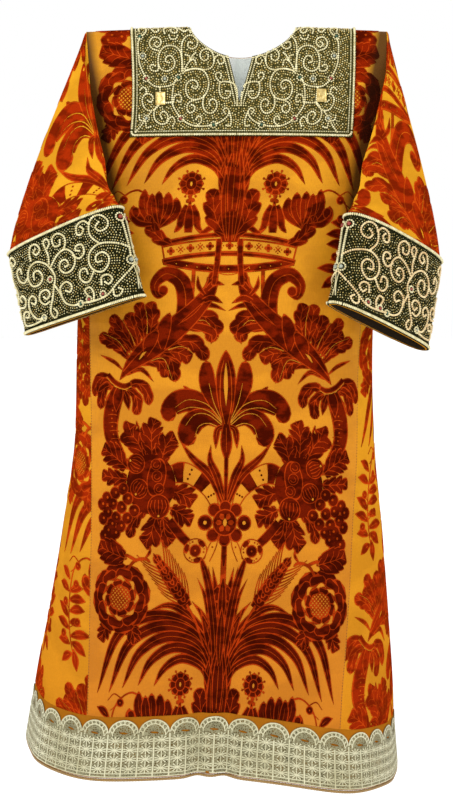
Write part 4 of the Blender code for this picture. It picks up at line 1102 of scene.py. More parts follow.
def placed_grid(cloth, chart):
    points, normals = cloth.place(chart.reshape(-1, 2), 0.0)
    return points.reshape(chart.shape[:2] + (3,)), normals.reshape(chart.shape[:2] + (3,))


def panel_surface(cloth, face, shares, yoke, lower_levels):
    """The surface of both halves of a panel, not yet welded: points, normals, faces."""
    points, normals, faces, count = [], [], [], 0
    for side in (LEFT, RIGHT):
        grid, facing = placed_grid(cloth, half_chart(face, side, shares[side], yoke, lower_levels))
        points.append(grid.reshape(-1, 3))
        normals.append(facing.reshape(-1, 3))
        faces.append(grid_faces(*grid.shape[:2], flip=side * face > 0) + count)
        count += len(points[-1])
    return np.concatenate(points), np.concatenate(normals), np.concatenate(faces)


# The materials of a wall's outer face, inner face and edge.
GROUND = ("ground", "lining", "ground")
SIDE_GROUND = ("side_ground", "lining", "side_ground")
# The sleeve's inner face is painted near black, as shadow inside the sleeve.
SLEEVE_GROUND = ("side_ground", "cuff_lining_painted_shadow", "side_ground")

PANEL_SHELL_COLUMNS = 29
YOKE_SHELL_ROWS = 16
CHEST_LEVELS = np.linspace(SLIT_END_DROP, UNDERARM_DROP, 17)[1:]
SKIRT_LEVELS = np.linspace(UNDERARM_DROP, HEM_DROP - BAND_HEIGHT, 62)[1:]


def build_panel(name, cloth, face):
    """A panel's wall, with the velvet's ground outside and the lining inside."""
    shares = dict.fromkeys((LEFT, RIGHT), np.linspace(0, 1, PANEL_SHELL_COLUMNS))
    surface = panel_surface(cloth, face, shares, np.linspace(0, 1, YOKE_SHELL_ROWS),
                            np.concatenate([CHEST_LEVELS, SKIRT_LEVELS]))
    points, normals, faces, _ = welded(*surface)
    return add_wall(name, points, points - normals * VELVET_WALL, faces, GROUND)


def build_gore(name, cloth, side):
    """A gore's wall, from every second row and column of its cloth."""
    rows = np.append(np.arange(0, len(cloth.points) - 1, 2), len(cloth.points) - 1)
    points, normals = cloth.points[rows, ::2], cloth.normals[rows, ::2]
    faces = grid_faces(*points.shape[:2], flip=side < 0)
    points, normals = points.reshape(-1, 3), normals.reshape(-1, 3)
    return add_wall(name, points, points - normals * VELVET_WALL, faces, SIDE_GROUND)


COLLAR_LEVELS = np.linspace(SLIT_END_DROP, COLLAR_DROP, 12)[1:-1]
COLLAR_EDGE_LEVELS = COLLAR_DROP - np.array((0.0036, 0.0018, 0.0))
COLLAR_SHELL_SHARES = np.append(np.linspace(0, 0.97, 30), (0.98, 0.99, 1.0))
COLLAR_RIM_PLACE = 0.003        # from the edge to the top of the raised rim
COLLAR_RIM_REACH = 0.0035
NECK_LINING_SHARE = 0.44        # of the way to the collar's side edge
NECK_LINING_POINTS = 14


def build_collar(cloths):
    """The stiff collar, in one piece over both shoulders, with a rounded edge."""
    shares = {side: collar_edge(side) * COLLAR_SHELL_SHARES for side in (LEFT, RIGHT)}
    levels = np.append(COLLAR_LEVELS, COLLAR_EDGE_LEVELS)
    from_side = (1 - shares[LEFT] / collar_edge(LEFT)) * COLLAR_HALF_WIDTH[LEFT]
    from_low = np.concatenate([np.ones(YOKE_SHELL_ROWS), COLLAR_DROP - levels])
    near = np.minimum(from_side[None, :], from_low[:, None])
    rim = COLLAR_RIM * np.sqrt(np.clip(1 - ((near - COLLAR_RIM_PLACE) / COLLAR_RIM_REACH) ** 2, 0, 1))
    parts, count = [], 0
    for face in (FRONT, BACK):
        points, normals, faces = panel_surface(cloths[face], face, shares, np.linspace(0, 1, YOKE_SHELL_ROWS),
                                               levels)
        parts.append((points, normals, faces + count))
        count += len(points)
    points, normals, faces, first = welded(*(np.concatenate(group) for group in zip(*parts)))
    raised = np.tile(rim.ravel(), 4)[first]             # two halves in front and two behind
    inner = points + normals * LAY_GAP
    return add_wall("collar_cloth", inner + normals * (COLLAR_WALL + raised[:, None]), inner, faces,
                    ("collar_ground", "lining", "collar_ground"))


def build_neck_lining(cloth):
    """The pale lining of the back, which shows through the slit."""
    places = np.linspace(0, 1, NECK_LINING_POINTS)
    shares = np.linspace(0, NECK_LINING_SHARE, NECK_LINING_POINTS)
    left, right = (half_chart(BACK, side, collar_edge(side) * shares, places, COLLAR_LEVELS)
                   for side in (LEFT, RIGHT))
    grid, normals = placed_grid(cloth, np.concatenate([left[:, :0:-1], right], axis=1))
    outer = (grid - normals * (VELVET_WALL + LAY_GAP)).reshape(-1, 3)
    inner = outer - normals.reshape(-1, 3) * LINING_WALL
    faces = grid_faces(*grid.shape[:2], flip=True)
    return add_wall("neck_lining_cloth", outer, inner, faces, ("lining",) * 3)


# ---------------------------------------------------------------- sleeves and cuffs

def armhole(side, panels, gore):
    """The armhole's loop from the shoulder tip down the front, under the arm and up the back: its points,
    the body's normals there, and the directions in which the body's surface would carry on."""
    slit, collar, underarm = (run_of_drop(drop) for drop in (SLIT_END_DROP, COLLAR_DROP, UNDERARM_DROP))
    runs = np.concatenate([np.array(YOKE_ROWS) * slit, slit + np.array(LOWER_COLLAR_ROWS) * (collar - slit),
                           collar + np.array(CHEST_ROWS) * (underarm - collar)])
    before_share = collar_edge(side) + 0.5 * (1 - collar_edge(side))

    def column(face, share):
        u = np.full(len(runs), side * share * PANEL_HALF_CHART)
        return panels[face].place(np.stack([u, (TOP_LEVEL + runs) / MM], axis=1), 0)

    edges = []
    for face, order in ((FRONT, 1), (BACK, -1)):
        edge, normals = column(face, 1)
        before, _ = column(face, before_share)
        edges.append((edge[::order], normals[::order], unit(edge - before)[::order]))
    rows = []
    for share in (0, FIRST_SKIRT_LEVEL):
        level = UNDERARM_DROP + share * (HEM_DROP - BAND_HEIGHT - UNDERARM_DROP)
        curve = gore_curve(side, level)
        lengths = lengths_along(curve[:, :2])
        row = along_line(curve, np.linspace(0, lengths[-1], GORE_COLUMNS + 1), lengths)
        row[:, 2] = skirt_z(row, level)
        rows.append(row)
    top, next_row = rows
    _, gore_normals = gore.place(np.stack([side * lengths_along(top[:, :2]) / MM,
                                           np.full(len(top), UNDERARM_DROP / MM)], axis=1), 0)
    under = top[1:-1], gore_normals[1:-1], unit(top - next_row)[1:-1]
    loop, normals, onward = (np.concatenate([front, middle, back[:-1]])
                             for front, middle, back in zip(edges[0], under, edges[1]))
    loop[0, 1] = 0
    for corner, end in ((ARMHOLE_POINTS - 1, 0), (ARMHOLE_POINTS + GORE_COLUMNS - 1, -1)):
        onward[corner] += 1.5 * unit(top - next_row)[end]
    return loop, unit(normals), unit(onward)


def loop_turns(loop):
    """The turn round the sleeve of each point of the armhole: 0 at the shoulder, pi under the arm."""
    lengths = lengths_along(loop, closed=True)[:-1]
    whole = lengths_along(loop, closed=True)[-1]
    under = lengths[len(loop) // 2]
    return np.where(lengths <= under, lengths / under, 1 + (lengths - under) / (whole - under)) * math.pi


def cuff_ring(side, edge, turns):
    """The points of the flattened ring at the cuff's top or bottom edge."""
    ends = {name: (np.array(CUFFS[side][name][0]), np.array(CUFFS[side][name][1])) for name in CUFFS[side]}
    outer, inner = ends[edge]
    axis = sum(ends["bottom"]) - sum(ends["top"])
    facing = unit(np.cross(axis, inner - outer))
    facing *= -np.sign(facing[1])
    power = 2 / CUFF_ROUNDNESS
    across, deep = (np.sign(v) * np.abs(v) ** power for v in (np.cos(turns), np.sin(turns)))
    half_depth = CUFFS[side][edge][2]
    return (outer + inner) / 2 + across[:, None] * (outer - inner) / 2 + deep[:, None] * half_depth * facing


def start_headings(turns, normals, onward, ahead):
    """(unit direction, reach) in which each line of the sleeve leaves the armhole."""
    front = soft_step((turns / math.pi - HEADING_LIFT[0]) / HEADING_LIFT[1])
    back = soft_step((turns / math.pi - HEADING_FALL[0]) / HEADING_FALL[1])
    lift = (front * (1 - back))[:, None]
    heading = unit(HEADING_ONWARD * onward + lift * normals + (1 - lift) * ahead)
    for _ in range(HEADING_EASINGS):
        heading = unit(np.roll(heading, 1, axis=0) + 2 * heading + np.roll(heading, -1, axis=0))
    return heading, np.interp(turns / math.pi, *zip(*SLEEVE_REACH))[:, None]


def crest_at(side, along):
    """The fold's turn and its place at a share of the way to the cuff."""
    rows = np.array(CRESTS[side])
    values = [float(smooth_table(rows[:, 0], rows[:, k], max(along, rows[0, 0]))) for k in range(1, 5)]
    return values[0] * math.pi, np.array(values[1:])


def sleeve_rings(side, loop, normals, onward):
    """The sleeve's outer points in rings, from the armhole to the cuff's top edge, and the low edge of
    the cuff."""
    turns = loop_turns(loop)
    top, low = cuff_ring(side, "top", turns), cuff_ring(side, "bottom", turns)
    heading, reach = start_headings(turns, normals, onward, unit(top - loop))
    start = loop + onward * SLEEVE_SEAM_GAP
    bend = start + heading * SLEEVE_FIRST_STEP
    arrive = unit(low - top) * np.linalg.norm(top - loop, axis=1, keepdims=True) * SLEEVE_CUFF_REACH
    rings = [start]
    around = np.append(turns, 2 * math.pi)
    for t in SLEEVE_ROWS:
        ring = ((2 * t ** 3 - 3 * t ** 2 + 1) * bend + (t ** 3 - 2 * t ** 2 + t) * reach * heading
                + (3 * t ** 2 - 2 * t ** 3) * top + (t ** 3 - t ** 2) * arrive)
        turn, place = crest_at(side, t)
        closed = np.concatenate([ring, ring[:1]])
        there = np.array([np.interp(turn, around, closed[:, k]) for k in range(3)])
        spread = np.where(turns < turn, *CREST_SPREAD) * math.pi
        near = np.exp(-np.abs((turns - turn) / spread) ** 3)
        near *= soft_step(t / CREST_START) * soft_step((1 - t) / CREST_END)
        ring = ring + near[:, None] * (place - there)
        under = np.exp(-((turns / math.pi - UNDERARM_BULGE_TURN) / UNDERARM_BULGE_SPREAD) ** 2)
        rings.append(ring + under[:, None] * (side * UNDERARM_BULGE * math.sin(math.pi * t), 0, 0))
    rings = np.array(rings)
    for _ in range(SLEEVE_EASINGS):
        beside = np.roll(rings, 1, axis=1) + np.roll(rings, -1, axis=1)
        rings[2:-1] = (rings[1:-2] + rings[3:] + beside[2:-1] + 2 * rings[2:-1]) / 6
    return rings, low


SLEEVE_FINE = 3                 # steps between two of the CAD sleeve's points, both ways
CUFF_LINES = 25
CUFF_FRONT_FALL = 0.0065
CUFF_BACK_RISE = 0.009
CUFF_RIM_SHARE = 0.03           # of the cuff's length that is raised at each edge
CUFF_RIM_FADE = 0.04            # and that it fades over


def fine_rings(rings, low, turns):
    """The sleeve down to the cuff, and the cuff's own surface, both on finer grids. The cuff hangs a little
    lower in front than behind."""
    fall = np.sin(turns)[:, None]
    low = low + unit(low - rings[-1]) * np.where(fall > 0, CUFF_FRONT_FALL, CUFF_BACK_RISE) * fall
    around = catmull(rings.transpose(1, 0, 2), SLEEVE_FINE, closed=True).transpose(1, 0, 2)
    sleeve = np.concatenate([around[:1], catmull(around[1:], SLEEVE_FINE)])
    hem = catmull(low, SLEEVE_FINE, closed=True)
    share = np.linspace(0, 1, CUFF_LINES)[:, None, None]
    return sleeve, around[-1] + share * (hem - around[-1])


def ring_chart(rings, cut_turn):
    """Flat millimetres of a tube: u runs round it from its outer line, front first, and v along it. The
    first and the last column lie on the cut. Returns the columns in that order, the chart, and u at the
    inner line."""
    count = rings.shape[1]
    cut = round(cut_turn / 2 * count)
    order = np.concatenate([np.arange(cut - count, cut), [cut]]) % count
    steps = np.linalg.norm(np.diff(rings[:, order], axis=1), axis=2)
    u = np.concatenate([np.zeros((len(rings), 1)), np.cumsum(steps, axis=1)], axis=1)
    u -= u[:, count - cut][:, None]
    step = np.linalg.norm(np.diff(rings, axis=0), axis=2).mean(axis=1)
    v = np.concatenate([[0], np.cumsum(step)])
    chart = np.stack([u, np.repeat(v[:, None], count + 1, axis=1)], axis=-1) / MM
    return order, chart, chart[:, count - cut + count // 2, 0].mean()


def build_sleeve(name, rings, cuff, side):
    """The sleeve's cloth from the armhole to the cuff's low edge, under the cuff."""
    whole = np.concatenate([rings, cuff[4::4]])
    normals = grid_normals(whole, closed=True) * -side
    faces = grid_faces(*whole.shape[:2], flip=side > 0, closed=True)
    outer, normals = whole.reshape(-1, 3), normals.reshape(-1, 3)
    return add_wall(name, outer, outer - normals * VELVET_WALL, faces, SLEEVE_GROUND)


def build_cuff(name, cuff, side):
    """The cuff's embroidered ground, with a raised edge at its top and bottom."""
    normals = grid_normals(cuff, closed=True) * -side
    share = np.linspace(0, 1, len(cuff))
    near = np.minimum(share, 1 - share)
    stand = CUFF_WALL + CUFF_RIM * 0.5 * (1 - soft_step((near - CUFF_RIM_SHARE) / CUFF_RIM_FADE))
    inner = cuff + normals * LAY_GAP
    outer = inner + normals * stand[:, None, None]
    faces = grid_faces(*cuff.shape[:2], flip=side > 0, closed=True)
    return add_wall(name, outer.reshape(-1, 3), inner.reshape(-1, 3), faces,
                    ("cuff_ground", "cuff_lining_painted_shadow", "cuff_ground"))


# ---------------------------------------------------------------- the hem

HEM_CORD_RADIUS = 0.003
LACE_SCALLOPS = 34
LACE_PEAK = 0.1045
LACE_VALLEY = 0.083
LACE_FIELD_TOP = 0.0755
LACE_EDGE = 0.0015
LACE_GAP = 0.0011
BAND_COLUMNS = 408
BAND_ROWS = 9


def band_row(height, columns):
    """The ring of the hem band at a height above the hem, from the left side over the front."""
    line = outline(HEM_DROP - height)
    left = int(np.argmin(np.abs(line[:, 2] + 90)))
    line = np.concatenate([line[left:-1], line[:left]])
    lengths = lengths_along(line[:, :2], closed=True)
    front = np.interp(0, line[:SECTION_POINTS // 2, 2], lengths[:SECTION_POINTS // 2])
    closed = np.concatenate([line, line[:1] + (0, 0, 360)])
    closed[:, 2] = np.unwrap(np.radians(closed[:, 2]))
    at = (front + (columns - 0.25) * lengths[-1]) % lengths[-1]
    points = along_line(closed, at, lengths)
    return np.stack([points[:, 0], points[:, 1], height - hem_drop(np.degrees(points[:, 2]))], axis=1)


def band_grid():
    """The hem band's outer points. Row 0 is its top."""
    heights = np.linspace(BAND_HEIGHT, 0, BAND_ROWS)
    columns = np.arange(BAND_COLUMNS) / BAND_COLUMNS
    grid = np.array([band_row(height, columns) for height in heights])
    return grid, grid_normals(grid, closed=True), heights


def build_band(grid, normals):
    """The band's wall, whose top edge lies just clear of the panels."""
    faces = grid_faces(*grid.shape[:2], closed=True)
    outer = grid.copy()
    outer[0, :, 2] -= SEAM_GAP / 3
    outer, normals = outer.reshape(-1, 3), normals.reshape(-1, 3)
    return add_wall("hem_band_cloth", outer, outer - normals * VELVET_WALL, faces,
                    ("silk", "lining", "silk"))


# ---------------------------------------------------------------- the velvet's pile

PILE_CELL = 17.0                # mm between the loose points that let the pile bend with the cloth
OUTLINE_STAND = 0.55            # how far a point of an outline may lie from the line that leaves it out
PANEL_OUTLINE_STAND = {FRONT: OUTLINE_STAND, BACK: 1.1}
LONGEST_DRAWN = 12.0            # mm between two points of an outline, where one may be left out
PILE_LIFT = 0.0008
PILE_SUNK = 0.0001              # how deep the pile's foot lies in its ground
# The material and the lift of each tone of pile, on the panels and on the gores and sleeves. The gores' and
# sleeves'
# materials are lighter: painted sheen, for the velvet's glow where the cloth turns away at the sides.
PANEL_PILE, SHEEN_LIT_SIDE_PILE = ({tone: (word + tone, PILE_LIFT) for tone in (RIM, DEEP, VEIN)}
                         for word in ("pile_", "side_"))


def signed_area(shape):
    following = np.roll(shape, -1, axis=0)
    return float((shape[:, 0] * following[:, 1] - following[:, 0] * shape[:, 1]).sum()) / 2


def thinned(shape, stand):
    """A closed outline without the points that stand less than so many mm off the line past them."""
    for _ in range(2):
        before, after = np.roll(shape, 1, axis=0), np.roll(shape, -1, axis=0)
        line, spoke = after - before, shape - before
        reach = np.linalg.norm(line, axis=1)
        area = np.abs(line[:, 0] * spoke[:, 1] - line[:, 1] * spoke[:, 0])
        dropped = (area < stand * reach) & (reach < LONGEST_DRAWN)
        dropped[::2] = False
        shape = shape[~dropped]
    return shape


def nearly_inside(shape, low, high):
    return (shape.max(axis=0) > low).all() and (shape.min(axis=0) < high).all()


def add_pile(name, cloth, figure, border, flip, tones=PANEL_PILE, base=0.0, stand=OUTLINE_STAND):
    """The figure's raised pile on a cloth, inside a closed border on the cloth's chart. base is the lift of
    the ground that it stands on, and stand is for the outlines."""
    low, high = border.min(axis=0), border.max(axis=0)
    shapes = [(tone, thinned(shape, stand)) for tone, shape in figure.shapes
              if nearly_inside(shape, low, high)]
    columns = np.arange(low[0], high[0], PILE_CELL)
    rows = np.arange(low[1], high[1], PILE_CELL)
    loose = np.stack(np.meshgrid(columns, rows), axis=-1)
    loose[1::2, :, 0] += PILE_CELL / 2
    outlines = [border if signed_area(border) > 0 else border[::-1]]
    outlines += [shape if signed_area(shape) > 0 else shape[::-1] for _, shape in shapes]
    kinds = list(tones)
    shown = [BARE] + [tone for tone, _ in shapes]
    spots = np.concatenate(outlines + [loose.reshape(-1, 2)])
    faces, count = [], 0
    for shape in outlines:
        faces.append(list(range(count, count + len(shape))))
        count += len(shape)
    made = delaunay_2d_cdt([Vector(spot) for spot in spots.tolist()], [], faces, 1, 1e-4, True)
    flat = np.array([tuple(spot) for spot in made[0]])
    triangles, slots = [], []
    for triangle, sources in zip(made[2], made[5]):
        if len(triangle) != 3 or 0 not in sources:
            continue
        tone = shown[max(sources)]
        if tone != BARE:
            triangles.append(triangle)
            slots.append(kinds.index(tone))
    triangles, slots = np.array(triangles), np.array(slots)
    used, number = np.unique(triangles, return_inverse=True)
    triangles = number.reshape(triangles.shape)
    flat = flat[used]
    lifts = np.array([tones[kind][1] for kind in kinds])
    lift = np.zeros(len(flat))
    np.maximum.at(lift, triangles.ravel(), np.repeat(lifts[slots], 3))
    points, normals = cloth.place(flat, lift)
    if flip:
        triangles = triangles[:, ::-1]
    edge = open_edges(triangles)
    wanted = np.unique(edge)
    foot = points[wanted] - normals[wanted] * (lift[wanted, None] - base + PILE_SUNK)
    renumber = np.zeros(len(points), int)
    renumber[wanted] = np.arange(len(wanted)) + len(points)
    skirt = np.concatenate([np.stack([edge[:, 1], edge[:, 0], renumber[edge[:, 0]]], axis=1),
                            np.stack([edge[:, 1], renumber[edge[:, 0]], renumber[edge[:, 1]]], axis=1)])
    tone_of = np.zeros(len(points), int)
    tone_of[triangles.ravel()] = np.repeat(slots, 3)
    return add_mesh(name, np.concatenate([points, foot]), np.concatenate([triangles, skirt]),
                    [tones[kind][0] for kind in kinds], np.concatenate([slots, tone_of[skirt[:, 0]]]))


def border_line(corners, step=8.0):
    """The closed line through corners, with a point every so many millimetres."""
    parts = []
    for start, end in zip(corners, corners[1:] + corners[:1]):
        start, end = np.array(start, float), np.array(end, float)
        count = max(1, round(float(np.linalg.norm(end - start)) / step))
        parts.append(start + np.arange(count)[:, None] / count * (end - start))
    return np.concatenate(parts)


def panel_border():
    """A panel round the collar that lies on it."""
    low, end = TOP_LEVEL / MM, (HEM_DROP - BAND_HEIGHT) / MM
    left, right = (side * collar_edge(side) * PANEL_HALF_CHART for side in (LEFT, RIGHT))
    outer = PANEL_HALF_CHART
    return border_line([(-outer, low), (left, low), (left, COLLAR_DROP / MM), (right, COLLAR_DROP / MM),
                        (right, low), (outer, low), (outer, end), (-outer, end)])


def chart_border(cloth):
    """The outline of a cloth's whole chart."""
    chart = cloth.chart
    ring = np.concatenate([chart[0, :-1], chart[:-1, -1], chart[-1, :0:-1], chart[:0:-1, 0]])
    lengths = lengths_along(ring, closed=True)
    at = np.linspace(0, lengths[-1], round(lengths[-1] / 8))[:-1]
    return along_line(np.concatenate([ring, ring[:1]]), at, lengths)


SLEEVE_CUT = 1.15               # where the sleeve's chart is cut, in half turns from its outer line


def laid(figure, anchor, turn, place, mirror=False):
    """The figure's repeats over a cloth, with its anchor at a place on the chart, turned by some degrees."""
    made = Figure()
    for across in (-1, 0, 1):
        for down in (-1, 0, 1):
            spot = (np.array(anchor) + (across * REPEAT_ACROSS, down * REPEAT)) * (-1 if mirror else 1, 1)
            made.extend(figure.copied(place - turned([spot], turn)[0], turn, mirror))
    return made


# How the figure lies on each cloth: its anchor, the turn in degrees, the anchor's place on the cloth's chart
# and whether the chart runs the other way.
LAID_ON = {
    "front": ((0.0, 0.0), 0.0, (3.0, 0.0), False),
    "back": ((0.0, 0.0), 0.0, (-3.0, 0.0), False),
    "gore_left": ((-235.0, 480.0), 0.0, (-60.0, 1165.0), False),
    "gore_right": ((-207.0, 655.0), 0.0, (66.0, 1116.0), False),
    "sleeve_left": ((0.0, 745.0), -33.0, (153.0, 113.0), False),
    "sleeve_right": ((20.0, 455.0), -33.0, (117.0, 76.0), True),
}


# ---------------------------------------------------------------- pearls and beads

def round_template(sides, heights, reaches, top, bottom):
    """A unit bead: rings of points at some heights, a top and a bottom point, and their triangles."""
    rings = [np.column_stack([reach * circle(sides), np.full(sides, height)])
             for height, reach in zip(heights, reaches)]
    points = np.concatenate(rings + [[(0, 0, top), (0, 0, bottom)]])
    triangles = []
    last = len(heights) - 1
    for i in range(sides):
        j = (i + 1) % sides
        for ring in range(last):
            a, b = ring * sides + i, ring * sides + j
            triangles += [(a, b, b + sides), (a, b + sides, a + sides)]
        triangles += [(last * sides + i, last * sides + j, len(points) - 2), (j, i, len(points) - 1)]
    return points, np.array(triangles)


PEARL = round_template(5, (-0.3, 0.6), (0.98, 0.82), 1.0, -0.9)
SMALL_BEAD = round_template(6, (0.0,), (1.0,), 0.8, -0.6)


class Beads:
    """Beads of one template, gathered before they are made into one mesh."""

    def __init__(self, template, materials):
        self.template, self.materials = template, materials
        self.places, self.normals, self.sizes, self.ahead, self.slots = [], [], [], [], []

    def add(self, points, normals, radius, slot=0, stretch=1.0):
        """stretch is the bead's length along its row over its width."""
        ahead = np.gradient(points, axis=0) if len(points) > 1 else np.array([[1.0, 0.0, 0.0]])
        self.places.append(points)
        self.normals.append(normals)
        self.ahead.append(ahead)
        self.sizes.append(np.broadcast_to(np.array((stretch, 1.0, 1.0)), (len(points), 3)) *
                          np.broadcast_to(radius, len(points))[:, None])
        self.slots.append(np.broadcast_to(slot, len(points)))

    def make(self, name):
        """One mesh of all the beads, each turned along its row and up from its cloth."""
        places, normals, ahead, sizes = (np.concatenate(group) for group in
                                         (self.places, self.normals, self.ahead, self.sizes))
        slots = np.concatenate(self.slots)
        points, triangles = self.template
        across = unit(np.cross(normals, ahead))
        along = np.cross(across, normals)
        local = points[None] * sizes[:, None]
        made = (places[:, None] + local[:, :, :1] * along[:, None] + local[:, :, 1:2] * across[:, None]
                + local[:, :, 2:] * normals[:, None])
        faces = triangles[None] + (np.arange(len(places)) * len(points))[:, None, None]
        return add_mesh(name, made.reshape(-1, 3), faces.reshape(-1, 3), self.materials,
                        np.repeat(slots, len(triangles)))


def even_line(controls, pitch, closed=False):
    """Places an equal step apart on a smooth line through control points."""
    line = catmull(np.asarray(controls, float), 10, closed)
    if closed:
        line = np.concatenate([line, line[:1]])
    lengths = lengths_along(line)
    count = max(2, round(lengths[-1] / pitch) + (0 if closed else 1))
    at = np.linspace(0, lengths[-1], count + 1)[:-1] if closed else np.linspace(0, lengths[-1], count)
    return along_line(line, at, lengths)


def inside_polygon(spots, polygon):
    """Whether each spot lies inside a closed polygon."""
    following = np.roll(polygon, -1, axis=0)
    inside = np.zeros(len(spots), bool)
    for (x0, y0), (x1, y1) in zip(polygon, following):
        crosses = (y0 > spots[:, 1]) != (y1 > spots[:, 1])
        if crosses.any():
            x = x0 + (spots[:, 1] - y0) / (y1 - y0 if y1 != y0 else 1e-9) * (x1 - x0)
            inside ^= crosses & (spots[:, 0] < x)
    return inside


class Room:
    """Keeps track of what is taken on a flat chart, to set beads close without overlaps."""

    def __init__(self, cell):
        self.cell, self.taken = cell, {}

    def key(self, spot):
        return int(spot[0] // self.cell), int(spot[1] // self.cell)

    def is_free(self, spot, radius):
        """Whether a circle at a spot is clear of all that is taken near it."""
        kx, ky = self.key(spot)
        for i in range(kx - 1, kx + 2):
            for j in range(ky - 1, ky + 2):
                for x, y, r in self.taken.get((i, j), ()):
                    if (x - spot[0]) ** 2 + (y - spot[1]) ** 2 < (r + radius) ** 2:
                        return False
        return True

    def take(self, spot, radius):
        self.taken.setdefault(self.key(spot), []).append((spot[0], spot[1], radius))


BEAD_PITCH = 4.4                # mm, on the collar
BEAD_RADIUS = 1.8
CUFF_BEAD_PITCH = 4.6
CUFF_BEAD_RADIUS = 1.45
ROOM_CELL = 9.0
MIDDLE_CLEARANCE = 0.3
EDGE_CLEARANCE = 2.0
FURTHEST_ROW = 27.0             # mm from the line that a row of beads follows


def bead_rows(lines, polygon, taken, pitch):
    """Places for small beads in rows that run beside the lines, then wherever there is room. They stay off
    the polygon's edge, but come close to the middle line."""
    room = Room(ROOM_CELL)
    for spot, radius in taken:
        room.take(spot, radius)
    for spot in border_line([tuple(corner) for corner in polygon], 3.0):
        room.take(spot, MIDDLE_CLEARANCE if abs(spot[0]) < 0.6 else EDGE_CLEARANCE)
    low, high = polygon.min(axis=0), polygon.max(axis=0)
    rows = []
    for offset in np.arange(pitch + 0.4, FURTHEST_ROW, pitch):
        for line in lines:
            fine = even_line(line, 1.5)
            across = across_line(fine)
            for side in (-1, 1):
                moved = fine + side * offset * across
                lengths = lengths_along(moved)
                count = int(lengths[-1] / pitch) + 1
                rows.append(along_line(moved, np.arange(count) * pitch, lengths))
    spare = np.stack(np.meshgrid(np.arange(low[0] + pitch * 0.52, high[0], pitch),
                                 np.arange(low[1], high[1], pitch * 0.9)), axis=-1)
    rows.append(spare.reshape(-1, 2))
    wanted = np.concatenate(rows)
    wanted = wanted[inside_polygon(wanted, polygon)]
    half = pitch * 0.44
    kept = []
    for spot in wanted.tolist():
        if room.is_free(spot, half):
            room.take(spot, half)
            kept.append(spot)
    return np.array(kept)


# ---------------------------------------------------------------- the collar's embroidery

# The pearl strings of half the collar, as control points on a chart of its own: x runs from the side edge to
# the middle and y down, both in steps of so many mm.
COLLAR_SKETCH_STEP = (0.1567, 0.163)
COLLAR_SKETCH_END = (1355.0, 1350.0)
COLLAR_STRINGS = (
    ((170, 190), (140, 270), (138, 400), (150, 520), (190, 620), (225, 685), (275, 745), (345, 785),
     (470, 785), (548, 760), (612, 690)),
    ((170, 190), (225, 160), (240, 100), (190, 65), (150, 90), (160, 130)),
    ((380, 375), (300, 340), (275, 270), (320, 208), (395, 222), (412, 285), (365, 330), (330, 290),
     (360, 262)),
    ((655, 615), (655, 460), (620, 360), (540, 315), (450, 330), (392, 400), (372, 500), (400, 582),
     (470, 612), (550, 578), (570, 505), (530, 438), (475, 448), (462, 500), (505, 515)),
    ((375, 530), (368, 600), (300, 602), (272, 560), (300, 530), (335, 548)),
    ((670, 610), (655, 450), (662, 290), (715, 208), (790, 200), (845, 262), (832, 335), (780, 362),
     (732, 330), (745, 275), (785, 290)),
    ((690, 590), (735, 520), (785, 485), (815, 500), (825, 545)),
    ((700, 430), (745, 445), (755, 490)),
    ((820, 410), (785, 440), (765, 480)),
    ((700, 610), (820, 590), (930, 605), (1010, 580), (1042, 500), (1020, 410), (960, 365), (895, 388),
     (875, 450), (915, 500), (968, 480), (970, 435)),
    ((1040, 500), (1060, 460), (1110, 440), (1160, 480), (1150, 530), (1105, 540), (1085, 500)),
    ((670, 640), (720, 605), (820, 592), (920, 622), (975, 720), (970, 830), (920, 912), (840, 942),
     (760, 930), (712, 870), (705, 790), (740, 735), (805, 722), (850, 770), (820, 820), (780, 800)),
    ((925, 900), (915, 1000), (955, 1078), (1030, 1096), (1082, 1040), (1078, 968), (1030, 938), (990, 970),
     (1005, 1010)),
    ((900, 925), (810, 950), (742, 978), (725, 1040), (760, 1090), (812, 1070), (818, 1020), (780, 1000)),
    ((1330, 1010), (1325, 860), (1290, 775), (1205, 745), (1122, 752), (1108, 830), (1130, 905),
     (1185, 932), (1235, 908), (1242, 858), (1190, 850)),
    ((1110, 745), (1070, 700), (1062, 655), (1095, 638), (1130, 662), (1120, 700)),
    ((660, 1150), (735, 1203), (830, 1237), (950, 1242), (1060, 1226), (1150, 1190), (1222, 1130),
     (1236, 1070), (1200, 1040), (1168, 1065), (1195, 1105)),
    ((1240, 1080), (1270, 1170), (1262, 1240), (1215, 1235)),
    ((850, 1240), (905, 1200), (905, 1145), (865, 1130), (845, 1165)),
    ((660, 1150), (600, 1080), (548, 985), (545, 860), (568, 735), (612, 690)),
    ((560, 965), (570, 900), (620, 880), (655, 920), (640, 970), (605, 950)),
    ((395, 968), (470, 972), (548, 968)),
    ((400, 968), (350, 1020), (328, 1090), (350, 1165), (420, 1212), (492, 1200), (520, 1150), (560, 1135),
     (590, 1185), (570, 1235)),
    ((490, 1195), (500, 1120), (450, 1070), (405, 1100), (430, 1150)),
    ((395, 985), (330, 1048), (245, 1052), (190, 990), (182, 912), (228, 865), (290, 880), (312, 925),
     (280, 962), (245, 940)),
    ((228, 865), (222, 810), (185, 788), (152, 818)),
    ((120, 1295), (180, 1230), (235, 1145), (290, 1075)),
    ((150, 1110), (165, 1165), (230, 1180), (250, 1250), (300, 1240)),
    ((310, 110), (345, 150), (390, 125), (370, 80), (330, 85)),
    ((460, 165), (450, 112), (500, 72), (575, 82), (612, 130), (590, 165), (545, 155), (530, 120)),
    ((512, 190), (530, 232), (590, 232), (612, 195)),
    ((630, 105), (690, 150), (745, 125), (765, 165)),
    ((390, 800), (398, 880), (400, 960)),
)
# Stones set in rings of pearls: the place, and whether red (1), green (2) or clear (3).
COLLAR_STONES = (((165, 192), 2), ((225, 690), 1), ((612, 688), 2), ((660, 1155), 1), ((1062, 1226), 2),
                 ((240, 1145), 3), ((450, 700), 3), ((190, 430), 3))

